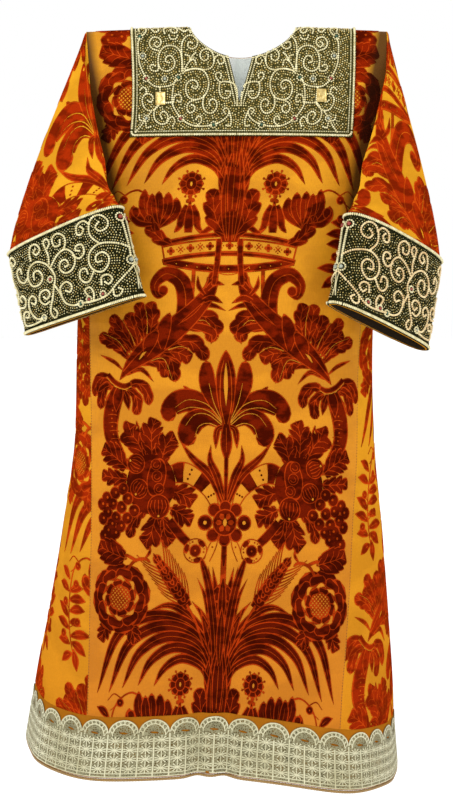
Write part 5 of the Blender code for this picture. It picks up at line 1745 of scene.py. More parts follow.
# Sizes of the collar's work, in mm.
STONE_RING = 5.6
STONE_RING_PEARLS = 9
STONE_PEARL_RADIUS = 1.8
STONE_RADIUS = 3.4
PEARL_RADIUS = 2.15
PEARL_PITCH = 3.9
PEARL_LIFT = 0.8
STONE_LIFT = 1.0
EDGE_ROW_INSET = 2.8            # from the collar's edge to its outer row of pearls
EDGE_ROW_CORNER = 9.0           # from the corner to where the row starts to turn
EDGE_ROW_TURN = 4.6
EDGE_ROW_PITCH = 3.1
EDGE_PEARL_RADIUS = 2.7
EDGE_PEARL_STRETCH = 0.72
EDGE_PEARL_LIFT = 0.9
INNER_ROW_INSET = 9.5
INNER_ROW_PEARLS = (70, 62)     # down the side edge and along the low edge
INNER_PEARL_RADIUS = 1.45
NECK_PEARL_RADIUS = 1.7
NECK_PEARL_PITCH = 3.6
NECK_PEARL_LIFT = 0.4
MIDDLE_ROW_ENDS = (4.0, 12.0)   # what the middle row of beads leaves free above and below
# The radius that small beads keep clear of round each pearl, stone or spot of a plaque.
STRING_ROOM, EDGE_ROOM, INNER_ROOM, PLAQUE_ROOM, STONE_ROOM = 1.6, 3.0, 1.2, 2.0, STONE_RING + 1.5


COLLAR_TOP_POINTS = 60


def collar_polygon(face, side):
    """The outline of half the collar, with u measured outwards from the middle."""
    share = collar_edge(side) * np.linspace(0, 1, COLLAR_TOP_POINTS)
    start, run = neck_line(face, side, share)
    top = np.stack([start * PANEL_HALF_CHART, (TOP_LEVEL + run) / MM], axis=1)
    edge, end = collar_edge(side) * PANEL_HALF_CHART, COLLAR_DROP / MM
    return np.concatenate([top, [(edge, end)], [(0.0, end)], [(0.0, SLIT_END_DROP / MM)]])


def from_collar_sketch(points):
    across_and_up = (np.array(COLLAR_SKETCH_END) - np.asarray(points, float)) * COLLAR_SKETCH_STEP
    return across_and_up * (1, -1) + (0.0, COLLAR_DROP / MM)


def edge_row(edge):
    """The outer row of pearls on half the collar: down the side edge, round the corner and to the middle."""
    top, end = TOP_LEVEL / MM, COLLAR_DROP / MM
    first = (edge - EDGE_ROW_INSET, end - EDGE_ROW_CORNER)
    last = (edge - EDGE_ROW_CORNER, end - EDGE_ROW_INSET)
    down = border_line([(first[0], top), first], EDGE_ROW_PITCH)[:int((first[1] - top) / EDGE_ROW_PITCH)]
    corner = even_line([first, (edge - EDGE_ROW_TURN, end - EDGE_ROW_TURN), last], EDGE_ROW_PITCH)
    u = np.arange(last[0] - EDGE_ROW_PITCH, 0, -EDGE_ROW_PITCH)
    return np.concatenate([down, corner, np.stack([u, np.full(len(u), last[1])], axis=1)])


def inner_row(edge):
    """The finer row inside it, with a sharp corner."""
    u, end = edge - INNER_ROW_INSET, COLLAR_DROP / MM - INNER_ROW_INSET
    down, across = INNER_ROW_PEARLS
    return np.concatenate([np.stack([np.full(down, u), np.linspace(TOP_LEVEL / MM, end, down)], axis=1),
                           np.stack([np.linspace(u, 0, across), np.full(across, end)], axis=1)])


def neck_rows(polygon, face):
    """The rows of fine pearls along the neck and, in front, two along the slit."""
    neck = polygon[:COLLAR_TOP_POINTS]
    rows = [(neck[neck[:, 1] > TOP_LEVEL / MM + 0.1], (0.0, 3.0))]
    if face == FRONT:
        rows += [(polygon[[-1, 0]] + inset, (0.0, 0.0)) for inset in ((3.0, 0.0), (8.0, 4.0))]
    for row, inset in rows:
        lengths = lengths_along(row)
        yield along_line(row, np.arange(0, lengths[-1], NECK_PEARL_PITCH), lengths) + inset


def middle_row(polygon, face, taken):
    """Beads down the middle line, from the slit's end or the neck, wherever no pearl is."""
    start = SLIT_END_DROP / MM if face == FRONT else polygon[0][1]
    above, below = MIDDLE_ROW_ENDS
    return [(0.0, drop) for drop in np.arange(start + above, COLLAR_DROP / MM - below, BEAD_PITCH)
            if all(math.dist((0.0, drop), other) > radius + BEAD_RADIUS for other, radius in taken)]


def embroider_collar(cloth, face, side, pearls, beads, stones):
    """Pearl strings, stones and rows of small beads on half the collar, in front or behind."""
    polygon = collar_polygon(face, side)
    edge = collar_edge(side) * PANEL_HALF_CHART
    lines = [from_collar_sketch(line) for line in COLLAR_STRINGS]
    taken = []

    def put(spots, lift, gathered, radius, slot=0, stretch=1.0):
        points, normals = cloth.place(np.asarray(spots) * (side, 1), LAY_GAP + COLLAR_WALL + lift * MM)
        gathered.add(points, normals, radius * MM, slot, stretch)

    def keep_clear(spots, room):
        taken.extend((spot, room) for spot in spots)

    for line in lines:
        spots = even_line(line, PEARL_PITCH)
        spots = spots[inside_polygon(spots, polygon)]
        if len(spots):
            put(spots, PEARL_LIFT, pearls, PEARL_RADIUS)
            keep_clear(spots, STRING_ROOM)
    for place, kind in COLLAR_STONES:
        centre = from_collar_sketch(place)[None]
        if inside_polygon(centre, polygon)[0]:
            put(centre + STONE_RING * circle(STONE_RING_PEARLS), PEARL_LIFT, pearls, STONE_PEARL_RADIUS)
            put(centre, STONE_LIFT, stones, STONE_RADIUS, kind - 1)
            keep_clear(centre, STONE_ROOM)
    outer, inner = edge_row(edge), inner_row(edge)
    put(outer, EDGE_PEARL_LIFT, pearls, EDGE_PEARL_RADIUS, 0, EDGE_PEARL_STRETCH)
    put(inner, 0.0, pearls, INNER_PEARL_RADIUS)
    keep_clear(outer[::2], EDGE_ROOM)
    keep_clear(inner, INNER_ROOM)
    for row in neck_rows(polygon, face):
        put(row, NECK_PEARL_LIFT, pearls, NECK_PEARL_RADIUS)
        keep_clear(row, STRING_ROOM)
    if face == FRONT:
        keep_clear(PLAQUE_SPOTS[side], PLAQUE_ROOM)
    middle = middle_row(polygon, face, taken)
    keep_clear(middle, BEAD_RADIUS)
    spots = bead_rows(lines, polygon, taken, BEAD_PITCH)
    if side == LEFT:
        spots = np.concatenate([spots, middle])
    put(spots, 0.0, beads, BEAD_RADIUS, np.arange(len(spots)) * 7 % 10 // 4)


# The plaques' places on the front, as shares of half a panel and levels, and spots that beads keep clear of.
PLAQUE_PLACES = {LEFT: (0.525, 0.136), RIGHT: (0.560, 0.130)}
PLAQUE_SPOTS = {
    side: [(share * PANEL_HALF_CHART + x, drop / MM + y)
           for x in np.arange(-9.0, 9.1, 3.0) for y in np.arange(-13.0, 13.1, 3.0)]
    for side, (share, drop) in PLAQUE_PLACES.items()
}


# ---------------------------------------------------------------- the cuffs' embroidery

# Half of a cuff on a chart of its own: its corners are outer top, inner top, inner low and outer low. The
# strings, the stones and the rows are placed on that chart.
CUFF_SKETCH = ((20, 540), (1100, 40), (1320, 965), (190, 1360))
CUFF_STRINGS = (
    ((965, 450), (890, 380), (868, 285), (890, 200), (950, 172), (1008, 220), (1010, 290), (962, 328),
     (922, 292), (945, 240)),
    ((872, 262), (820, 230), (765, 280), (772, 360), (812, 358), (826, 310), (800, 285)),
    ((1185, 475), (1080, 442), (962, 452), (892, 530), (888, 630), (930, 702), (1002, 720), (1046, 650),
     (1040, 570), (990, 532), (942, 570), (952, 628), (992, 618)),
    ((935, 702), (905, 800), (858, 822), (815, 780), (815, 710), (858, 690), (880, 738)),
    ((548, 665), (600, 560), (670, 502), (740, 540), (765, 620), (740, 700), (682, 730), (632, 690),
     (636, 622), (680, 602), (708, 648), (680, 670)),
    ((742, 562), (800, 592), (842, 530), (820, 462), (772, 468), (762, 510), (798, 520)),
    ((660, 502), (672, 430), (650, 370), (592, 350), (550, 400), (572, 470), (620, 460), (622, 412)),
    ((530, 640), (520, 560), (492, 490), (470, 430), (500, 400), (526, 440), (510, 488)),
    ((355, 605), (340, 540), (350, 470), (400, 450), (440, 500), (412, 550), (380, 530), (396, 495)),
    ((560, 705), (500, 642), (410, 620), (342, 680), (330, 780), (380, 855), (450, 832), (472, 760),
     (430, 705), (386, 730), (392, 788)),
    ((332, 762), (290, 822), (232, 800), (205, 722), (240, 680), (258, 730)),
    ((555, 690), (590, 770), (580, 870), (575, 960), (560, 1052), (562, 1112), (602, 1160), (622, 1110),
     (590, 1072)),
    ((590, 850), (640, 922), (690, 1012), (762, 1040), (830, 1022), (942, 1000), (1050, 950), (1122, 840),
     (1190, 732), (1232, 645)),
    ((652, 930), (640, 870), (690, 815), (742, 850), (732, 910), (692, 900)),
    ((942, 990), (940, 920), (900, 870), (860, 900), (890, 950)),
    ((1002, 842), (1000, 770), (1050, 750), (1086, 790), (1062, 840), (1030, 820)),
    ((1100, 900), (1112, 952), (1150, 950), (1170, 900), (1140, 880)),
    ((500, 1160), (420, 1170), (350, 1092), (335, 1000), (370, 950), (412, 980), (402, 1030), (370, 1020)),
    ((545, 1005), (500, 1032), (450, 990), (455, 920), (510, 890), (546, 930), (520, 980), (490, 960)),
    ((465, 1190), (380, 1230), (292, 1240), (270, 1160), (290, 1110), (336, 1110), (330, 1160),
     (300, 1160)),
    ((230, 1070), (290, 1060), (302, 990), (260, 950), (230, 980), (252, 1010)),
    ((110, 655), (126, 760), (112, 860), (170, 870), (206, 950), (190, 1040), (142, 1000), (150, 940)),
    ((102, 650), (110, 590), (150, 570), (186, 620), (155, 656), (130, 622)),
    ((160, 1110), (200, 1120), (210, 1180), (180, 1190)),
)
CUFF_STONES = (((545, 790), 1), ((1018, 935), 1), ((900, 985), 1), ((830, 1025), 2), ((495, 1158), 3))
CUFF_ROSETTES = (((1092, 172), 1), ((1205, 600), 3))
CUFF_EDGE_ROW = ((1110, 215), (1145, 330), (1180, 460), (1198, 550))
CUFF_LOW_ROW = ((1230, 655), (1268, 760), (1285, 880))

# Sizes of the cuffs' work, in mm.
CUFF_PEARL_RADIUS = 2.45
CUFF_PEARL_PITCH = 3.95
CUFF_PEARL_LIFT = 0.9
CUFF_PEARL_ROOM = 2.0
CUFF_RING_PEARL_RADIUS = 2.1
CUFF_STONE_LIFT = 1.2
CUFF_STONE_SIZES = (5.4, 3.2)   # the radius of the ring of pearls and of the stone
CUFF_ROSETTE_SIZES = (7.2, 4.6)
CUFF_STONE_ROOM = 1.8
CUFF_ROW_LIFT = 0.8
CUFF_ROW_STRETCH = 0.75
CUFF_MARGIN = 5.0               # what the small beads leave free at the top and the bottom
CUFF_ROPES = (0.018, 0.982)     # shares of the cuff's length where a thick rope of pearls lies
ROPE_LIFT = 1.0
ROPE_PITCH = 3.3
ROPE_RADIUS = 3.4
ROPE_STRETCH = 0.62
# The strings' tone, pale 0 or warm 1, and the order of the small beads' tones: gold 0, pale 1 and dark 2. The
# right cuff's warm pearls and extra dark beads are partly its own warmer colour and partly painted shade, as
# that cuff lies in shade.
CUFF_TONES = {LEFT: (0, (0, 1, 1, 2)), RIGHT: (1, (0, 2, 1, 2))}


def from_cuff_sketch(points, width, length):
    """Flat millimetres from the cuff's outer top corner, by undoing the sketch's bilinear corners."""
    a, b, c, d = (np.array(corner, float) for corner in CUFF_SKETCH)
    points = np.asarray(points, float)
    s = np.full((len(points), 1), 0.5)
    for _ in range(12):
        down = d - a + s * (c - b - d + a)
        f = ((points - a - s * (b - a)) * down).sum(axis=1, keepdims=True) / (down ** 2).sum(
            axis=1, keepdims=True)
        across = b - a + f * (c - b - d + a)
        s = ((points - a - f * (d - a)) * across).sum(axis=1, keepdims=True) / (across ** 2).sum(
            axis=1, keepdims=True)
    return np.concatenate([s * width, f * length], axis=1)


def embroider_cuff(cloth, width, string, tones, pearls, beads, stones):
    """The same strings on the front and, mirrored, on the back of the cuff. width is half way round it,
    string is the strings' tone and tones are the small beads' tones in their order."""
    start, end = cloth.chart[:, (0, -1), 0].mean(axis=0)
    length = cloth.chart[-1, 0, 1]

    def put(spots, lift, gathered, radius, slot=0, stretch=1.0):
        spots = np.stack([(spots[:, 0] - start) % (end - start) + start, spots[:, 1]], axis=1)
        points, normals = cloth.place(spots, LAY_GAP + CUFF_WALL + lift * MM)
        gathered.add(points, normals, radius * MM, slot, stretch)

    for side in (1, -1):
        lines = [from_cuff_sketch(line, width, length) for line in CUFF_STRINGS]
        taken = []
        for line in lines:
            spots = even_line(line, CUFF_PEARL_PITCH)
            put(spots * (side, 1), CUFF_PEARL_LIFT, pearls, CUFF_PEARL_RADIUS, string)
            taken += [(spot, CUFF_PEARL_ROOM) for spot in spots]
        for places, (ring, radius) in ((CUFF_STONES, CUFF_STONE_SIZES), (CUFF_ROSETTES, CUFF_ROSETTE_SIZES)):
            for place, kind in places:
                centre = from_cuff_sketch([place], width, length)
                around = centre + ring * circle(round(ring * 1.7))
                put(around * (side, 1), CUFF_PEARL_LIFT, pearls, CUFF_RING_PEARL_RADIUS)
                put(centre * (side, 1), CUFF_STONE_LIFT, stones, radius, kind - 1)
                taken.append((centre[0], ring + CUFF_STONE_ROOM))
        for row, radius in ((CUFF_EDGE_ROW, 2.7), (CUFF_LOW_ROW, 1.5)):
            spots = even_line(from_cuff_sketch(row, width, length), radius * 1.35)
            put(spots * (side, 1), CUFF_ROW_LIFT, pearls, radius, 0, CUFF_ROW_STRETCH)
            taken += [(spot, radius) for spot in spots]
        low = length - CUFF_MARGIN
        polygon = np.array([(0.5, CUFF_MARGIN), (width - 0.5, CUFF_MARGIN), (width - 0.5, low), (0.5, low)])
        spots = bead_rows(lines, polygon, taken, CUFF_BEAD_PITCH)
        put(spots * (side, 1), 0.0, beads, CUFF_BEAD_RADIUS,
            np.choose(np.arange(len(spots)) * 7 % 10 // 3, tones))
    for share in CUFF_ROPES:
        around = np.arange(cloth.chart[0, 0, 0], cloth.chart[0, -1, 0], ROPE_PITCH)
        put(np.stack([around, np.full(len(around), share * length)], axis=1), ROPE_LIFT, pearls, ROPE_RADIUS,
            0, ROPE_STRETCH)


# ---------------------------------------------------------------- the lace, the cord and the plaques

NET, THREAD = "net", "thread"
LACE_TONES = {NET: ("lace_net", LACE_GAP + 0.0004), THREAD: ("lace_thread", LACE_GAP + 0.0011)}
# The lace's sizes in mm; a thread's size is its half width.
LACE_HEADING = 8.0              # the width of the scalloped heading
LACE_CELLS = 4                  # wheels from the crescent down to the foot
LACE_FOOT = 7.0
LACE_OUTLINE_STAND = 0.2
WHEEL_SPOKES = 10
WHEEL_RINGS = ((0.45, 0.55), (0.97, 0.95))      # each ring's share of the wheel, and its thread
WHEEL_SPOKE = (0.6, 1.05)                       # at its two ends
WHEEL_SIDES = 12
WHEEL_HUB = 1.5
ARC_STEPS = 18
ARC_THREADS = (1.1, 0.9)                        # over and under the heading
BRIDE_THREAD = 0.55
UPRIGHT_THREAD = 1.25
FOOT_THREAD = 0.8
EYELET = (8.5, 1.9, 1.8, 4.5)                   # half width, half height, bend and height over the field


def band_half(grid, heights, half):
    """The front or the back half of the hem band as a cloth, with v down from the band's top."""
    columns = BAND_COLUMNS // 2
    points = grid[:, (np.arange(columns + 1) + half * columns) % BAND_COLUMNS]
    steps = np.linalg.norm(np.diff(points, axis=1), axis=2).mean(axis=0)
    u = np.concatenate([[0], np.cumsum(steps)]) / MM
    chart = np.stack(np.broadcast_arrays(u[None], ((BAND_HEIGHT - heights) / MM)[:, None]), axis=-1)
    return Cloth(points, chart, 1)


def thread(lace, points, half_width):
    """A thread along points, of one half width or with one at each point."""
    points = np.array(points, float)
    lace.add(THREAD, ribbon_outline(points, np.broadcast_to(half_width, len(points)).astype(float)))


def wheel(lace, centre, reach):
    """A wheel of threads: its spokes, a small ring and an outer one."""
    for k in range(WHEEL_SPOKES):
        turn = 2 * math.pi * (k + 0.5) / WHEEL_SPOKES
        away = np.array((math.cos(turn), math.sin(turn))) * reach
        thread(lace, [centre + away * 0.12, centre + away * 0.96], WHEEL_SPOKE)
    for share, half_width in WHEEL_RINGS:
        thread(lace, centre + share * circle(WHEEL_SIDES, closed=True) * reach, half_width)
    lace.disc(centre, WHEEL_HUB, tone=THREAD)


def scallop_lace(width):
    """One scallop of the lace, in mm: net below, threads above. v runs down from the band's top."""
    lace = Figure()
    peak, valley, low, field = ((BAND_HEIGHT - height) / MM
                                for height in (LACE_PEAK, LACE_VALLEY, LACE_EDGE, LACE_FIELD_TOP))
    turn = np.linspace(0, math.pi, ARC_STEPS + 1)

    def arc(inset):
        rise = valley + 1 - peak - inset * 0.2
        return np.stack([width / 2 - (width / 2 - inset) * np.cos(turn),
                         valley + 1 + inset * 0.8 - rise * np.sin(turn) ** 1.05], axis=1)

    half_width, half_height, bend, above = EYELET
    lace.add(NET, np.concatenate([arc(0.0), [(width, low), (0.0, low)]]))
    lace.add(BARE, np.stack([width / 2 + half_width * np.cos(2 * turn),
                             field - above - half_height * np.sin(2 * turn) - bend * np.sin(turn) ** 2],
                            axis=1)[:-1])
    outer, inner = arc(1.2), arc(LACE_HEADING)
    for line, half_width in zip((outer, inner), ARC_THREADS):
        thread(lace, line, half_width)
    for k in range(1, ARC_STEPS):
        thread(lace, [outer[k], inner[k + 1 if k % 2 else k - 1]], BRIDE_THREAD)
    foot = low - LACE_FOOT
    tall = (foot - field) / LACE_CELLS
    for column in (0.25, 0.75):
        for row in range(LACE_CELLS):
            wheel(lace, np.array((width * column, field + tall * (row + 0.5))),
                  np.array((width / 4 - 0.8, tall / 2)))
    for share, above in ((0.0, 3), (0.5, -3), (1.0, 3)):
        thread(lace, [(width * share, field - above), (width * share, low)], UPRIGHT_THREAD)
    for v in (foot, low - 1.0):
        thread(lace, [(0.0, v), (width, v)], FOOT_THREAD)
    return lace


def build_lace(name, grid, heights, half):
    """A length of lace along the front or the back half of the band."""
    cloth = band_half(grid, heights, half)
    end = cloth.chart[0, -1, 0]
    scallops = LACE_SCALLOPS // 2
    one, lace = scallop_lace(end / scallops), Figure()
    for k in range(scallops):
        lace.extend(one.copied((end / scallops * k, 0.0)))
    low = (BAND_HEIGHT - LACE_EDGE) / MM
    border = border_line([(0.4, 1.0), (end - 0.4, 1.0), (end - 0.4, low), (0.4, low)])
    return add_pile(name, cloth, lace, border, True, LACE_TONES, LACE_GAP, LACE_OUTLINE_STAND)


CORD_TWIST = 0.011              # metres of cord to one whole turn of its two strands
CORD_STEP = 0.0022
CORD_SIDES = 8
CORD_WAIST = 0.72               # the radius between the strands, as a share of the whole


def build_cord(grid, normals):
    """A cord of two twisted strands along the very edge of the hem."""
    edge = grid[-1] - normals[-1] * VELVET_WALL / 2
    edge[:, 2] -= HEM_CORD_RADIUS + SEAM_GAP
    lengths = lengths_along(edge, closed=True)
    count = round(lengths[-1] / CORD_STEP)
    line = along_line(np.concatenate([edge, edge[:1]]), np.arange(count) / count * lengths[-1], lengths)
    ahead = unit(np.roll(line, -1, axis=0) - np.roll(line, 1, axis=0))
    side = unit(np.cross(ahead, (0.0, 0.0, 1.0)))
    up = np.cross(side, ahead)
    turns = round(lengths[-1] / CORD_TWIST)
    twist = np.arange(count) / count * turns * 2 * math.pi
    angle = np.arange(CORD_SIDES) / CORD_SIDES * 2 * math.pi
    reach = HEM_CORD_RADIUS * (CORD_WAIST + (1 - CORD_WAIST) * np.abs(np.cos(angle[None] - twist[:, None])))
    across, along = (part[None, :, None] for part in (np.cos(angle), np.sin(angle)))
    points = line[:, None] + reach[..., None] * (across * side[:, None] + along * up[:, None])
    index = np.arange(count * CORD_SIDES).reshape(count, CORD_SIDES)
    a, b = index, np.roll(index, -1, axis=1)
    faces = np.stack([a, b, np.roll(b, -1, axis=0), np.roll(a, -1, axis=0)], axis=2).reshape(-1, 4)
    return add_mesh("hem_cord_twisted", points.reshape(-1, 3), faces, "cord")


# A plaque's width, thickness and length, and its parts, in metres.
PLAQUE = (0.019, 0.003, 0.026)
PLAQUE_STAND = 0.0008
PLAQUE_FRAME_INSET = 0.0014
PLAQUE_FRAME_REACH = 0.0011
PLAQUE_EDGE_FALL = 0.0012
# Its own heights, as shares of its thickness: the plate, its frame and its lozenge.
PLAQUE_HEIGHTS = (0.62, 0.36, 0.5)
PLAQUE_COLUMNS = np.concatenate([[-1, -0.97], np.linspace(-0.9, 0.9, 15), [0.97, 1]])
PLAQUE_ROWS = np.concatenate([[-1, -0.98], np.linspace(-0.92, 0.92, 19), [0.98, 1]])
PLAQUE_SHARP = math.radians(28)


def build_plaque(name, cloth, side):
    """A gold plaque with a raised frame, a lozenge in the middle, and its sides."""
    share, drop = PLAQUE_PLACES[side]
    u, v = side * share * PANEL_HALF_CHART, (TOP_LEVEL + run_of_drop(drop)) / MM
    places, _ = cloth.place(np.array([(u, v), (u - 10, v), (u + 10, v), (u, v - 10), (u, v + 10)]), 0)
    across, down = unit(places[2] - places[1]), unit(places[4] - places[3])
    facing = unit(np.cross(down, across))
    facing *= -np.sign(facing[1])
    down = unit(down - across * (down @ across))
    width, thickness, length = PLAQUE
    plate, frame, lozenge = PLAQUE_HEIGHTS
    x, y = np.meshgrid(PLAQUE_COLUMNS, PLAQUE_ROWS)
    edge = np.minimum((1 - np.abs(x)) * width, (1 - np.abs(y)) * length) / 2
    on_frame = np.clip(1 - np.abs(edge - PLAQUE_FRAME_INSET) / PLAQUE_FRAME_REACH, 0, 1)
    on_lozenge = np.clip(1.1 - (np.abs(x) + np.abs(y)) * 1.6, 0, 0.5)
    height = thickness * (plate + frame * on_frame + lozenge * on_lozenge) - PLAQUE_EDGE_FALL * (edge < 1e-4)
    middle = places[0] + facing * (LAY_GAP + COLLAR_WALL + PLAQUE_STAND)
    base = middle + x[..., None] * across * width / 2 + y[..., None] * down * length / 2
    top = base + height[..., None] * facing
    faces = grid_faces(*x.shape, flip=np.cross(down, across) @ facing < 0)
    made = add_wall(name, top.reshape(-1, 3), base.reshape(-1, 3), faces, ("gold",) * 3)
    made.data.set_sharp_from_angle(angle=PLAQUE_SHARP)
    return made


STITCH_PITCH = 5.2              # mm
STITCH_INSET = 1.6              # mm from the seam
STITCH_RADIUS = 0.0006
STITCH_STRETCH = 3.2


def build_seams(panels):
    """Rows of small stitches where the panels meet the gores."""
    stitches = Beads(SMALL_BEAD, ["stitch"])
    v = np.arange(UNDERARM_DROP / MM + 4, (HEM_DROP - BAND_HEIGHT) / MM - 2, STITCH_PITCH)
    for face in (FRONT, BACK):
        for side in (LEFT, RIGHT):
            u = np.full(len(v), side * (PANEL_HALF_CHART - STITCH_INSET))
            points, normals = panels[face].place(np.stack([u, v], axis=1), 0.0)
            stitches.add(points, normals, STITCH_RADIUS, 0, STITCH_STRETCH)
    return stitches.make("seam_stitches")


# ---------------------------------------------------------------- the studio

EVEN = (1.0, 1.0, 1.0)
NOISE_SPAN = (0.3, 0.7)         # the span of a noise texture that is spread over 0 to 1
CELL_WALL_SPAN = (0.08, 0.28)
MIX_INPUTS, MIX_OUTPUT = (0, 6, 7), 2   # where a colour mix has its factor, its two colours and its result


class Paint:
    """One material's node tree. Every texture lies in the garment's own space."""

    def __init__(self, name, roughness=0.6, metallic=0.0, specular=0.5):
        self.material = bpy.data.materials.new(name)
        self.material.use_nodes = True
        self.nodes, self.links = self.material.node_tree.nodes, self.material.node_tree.links
        self.shader = self.nodes["Principled BSDF"]
        self.shader.inputs["Roughness"].default_value = roughness
        self.shader.inputs["Metallic"].default_value = metallic
        self.shader.inputs["Specular IOR Level"].default_value = specular
        self.space = self.nodes.new("ShaderNodeTexCoord").outputs["Object"]
        MATERIALS[name] = self.material

    def feed(self, socket, value):
        """Links a socket to a value, or sets it when the value is a constant."""
        if isinstance(value, bpy.types.NodeSocket):
            self.links.new(value, socket)
        elif isinstance(value, tuple) and len(value) == 3 and socket.type == "RGBA":
            socket.default_value = (*value, 1.0)
        else:
            socket.default_value = value

    def texture(self, kind, scale, stretch):
        """A texture with so many features to the metre, and closer ones along an axis by its stretch."""
        mapping = self.nodes.new("ShaderNodeMapping")
        mapping.inputs["Scale"].default_value = stretch
        self.links.new(self.space, mapping.inputs["Vector"])
        texture = self.nodes.new(kind)
        texture.inputs["Scale"].default_value = scale
        self.links.new(mapping.outputs["Vector"], texture.inputs["Vector"])
        return texture

    def noise(self, scale, stretch=EVEN, detail=3.0):
        """Soft noise from 0 to 1."""
        texture = self.texture("ShaderNodeTexNoise", scale, stretch)
        texture.inputs["Detail"].default_value = detail
        return self.between(texture.outputs["Fac"], *NOISE_SPAN)

    def cells(self, scale):
        """The distance from the walls of small cells, from 0 at a wall to 1 inside."""
        texture = self.texture("ShaderNodeTexVoronoi", scale, EVEN)
        texture.feature = "DISTANCE_TO_EDGE"
        return self.between(texture.outputs["Distance"], *CELL_WALL_SPAN)

    def between(self, value, low, high, bottom=0.0, top=1.0):
        """bottom where the value is low or less, top where it is high or more, and even between them."""
        made = self.nodes.new("ShaderNodeMapRange")
        for name, number in zip(("From Min", "From Max", "To Min", "To Max"), (low, high, bottom, top)):
            self.feed(made.inputs[name], number)
        self.links.new(value, made.inputs["Value"])
        return made.outputs["Result"]

    def axes(self):
        """The garment's own X, Y and Z."""
        split = self.nodes.new("ShaderNodeSeparateXYZ")
        self.links.new(self.space, split.inputs["Vector"])
        return split.outputs

    def maths(self, operation, *values):
        """One operation on values or constants."""
        made = self.nodes.new("ShaderNodeMath")
        made.operation = operation
        for socket, value in zip(made.inputs, values):
            self.feed(socket, value)
        return made.outputs["Value"]

    def sum(self, first, second, share):
        """first plus a share of second."""
        return self.maths("MULTIPLY_ADD", second, share, first)

    def height(self, low, high):
        """0 at one height of the garment and 1 at another."""
        return self.between(self.axes()["Z"], low, high)

    def painted_shade_beside_sleeves(self):
        """1 at the sides of the chest, in front, where the sleeves shadow the body, and 0 elsewhere: the mask
        of painted shade.
        """
        x, y, z = self.axes()
        aside = self.maths("ABSOLUTE", self.maths("ADD", x, CHEST_SHADE_SHIFT))
        front = self.between(y, *CHEST_SHADE_DEPTHS, 1.0, 0.0)
        level = self.between(z, *CHEST_SHADE_LEVELS, 0.0, front)
        lean = self.sum(aside, z, CHEST_SHADE_LEAN)
        return self.maths("MULTIPLY", level, self.between(lean, *CHEST_SHADE_WIDTHS))

    def mix(self, factor, first, second):
        """first where the factor is 0 and second where it is 1."""
        made = self.nodes.new("ShaderNodeMix")
        made.data_type = "RGBA"
        for socket, value in zip(MIX_INPUTS, (factor, first, second)):
            self.feed(made.inputs[socket], value)
        return made.outputs[MIX_OUTPUT]

    def stained(self, tone, value, span, shares, colour):
        """The tone with some of a colour on it: its share goes from the first to the second of shares
        where the value goes through the span."""
        return self.mix(self.between(value, *span, *shares), tone, colour)

    def colour(self, value):
        self.feed(self.shader.inputs["Base Color"], value)

    def roughness(self, value):
        self.feed(self.shader.inputs["Roughness"], value)

    def bump(self, value, depth, strength=1.0):
        made = self.nodes.new("ShaderNodeBump")
        made.inputs["Strength"].default_value = strength
        made.inputs["Distance"].default_value = depth
        self.links.new(value, made.inputs["Height"])
        self.links.new(made.outputs["Normal"], self.shader.inputs["Normal"])

    def sheen(self, weight, tint, roughness=0.4):
        self.shader.inputs["Sheen Weight"].default_value = weight
        self.shader.inputs["Sheen Tint"].default_value = (*tint, 1.0)
        self.shader.inputs["Sheen Roughness"].default_value = roughness

    def coat(self, weight, roughness):
        self.shader.inputs["Coat Weight"].default_value = weight
        self.shader.inputs["Coat Roughness"].default_value = roughness


SKIRT_FOOT, SHOULDERS = -1.35, -0.15    # heights between which the colours change
BLOTCHES = (0.34, 0.68)
# Painted shade on the sides of the chest in front, where the sleeves shadow the body: from and to which
# height, depth and half width the shade sets in, how the half width leans with the height, and how far its
# middle is from the garment's.
CHEST_SHADE_LEVELS = (-0.42, -0.33)
CHEST_SHADE_DEPTHS = (-0.006, 0.002)
CHEST_SHADE_LEAN = -0.184
CHEST_SHADE_SHIFT = 0.013
CHEST_SHADE_WIDTHS = (0.262, 0.280)
CHEST_SHADE = 0.92


def dimmed(colour, share):
    return tuple(share * part for part in colour)


def satin(name, high, low, with_painted_shade):
    """Satin that darkens down the skirt, with fine warp threads and soft creases, and for the panels painted
    shade on the sides of the chest beside the sleeves.
    """
    paint = Paint(name, 0.5, 0.0, 0.08 if with_painted_shade else 0.0)
    tone = paint.mix(paint.height(SKIRT_FOOT, SHOULDERS), low, high)
    warp = paint.noise(40.0, (26.0, 26.0, 0.6), 2.0)
    weft = paint.noise(40.0, (1.0, 1.0, 30.0), 1.0)
    blotch = paint.noise(9.0, (1.0, 1.0, 1.6), 4.0)
    tone = paint.stained(tone, blotch, BLOTCHES, (0.0, 0.34), dimmed(low, 0.62))
    tone = paint.stained(tone, warp, (0.0, 1.0), (0.22, 0.0), dimmed(low, 0.55))
    tone = paint.stained(tone, weft, (0.0, 1.0), (0.10, 0.0), dimmed(low, 0.5))
    if with_painted_shade:
        # painted shade: the sides of the chest are darkened where the sleeves shadow the body
        tone = paint.stained(tone, paint.painted_shade_beside_sleeves(), (0.0, 1.0), (0.0, CHEST_SHADE),
                             (0.05, 0.018, 0.004))
    paint.colour(tone)
    paint.roughness(paint.between(warp, 0.0, 1.0, 0.42, 0.60))
    crease = paint.noise(7.0, (1.0, 1.0, 3.2), 2.0)
    paint.bump(paint.sum(paint.sum(crease, warp, 0.04), weft, 0.03), 0.006, 0.5)


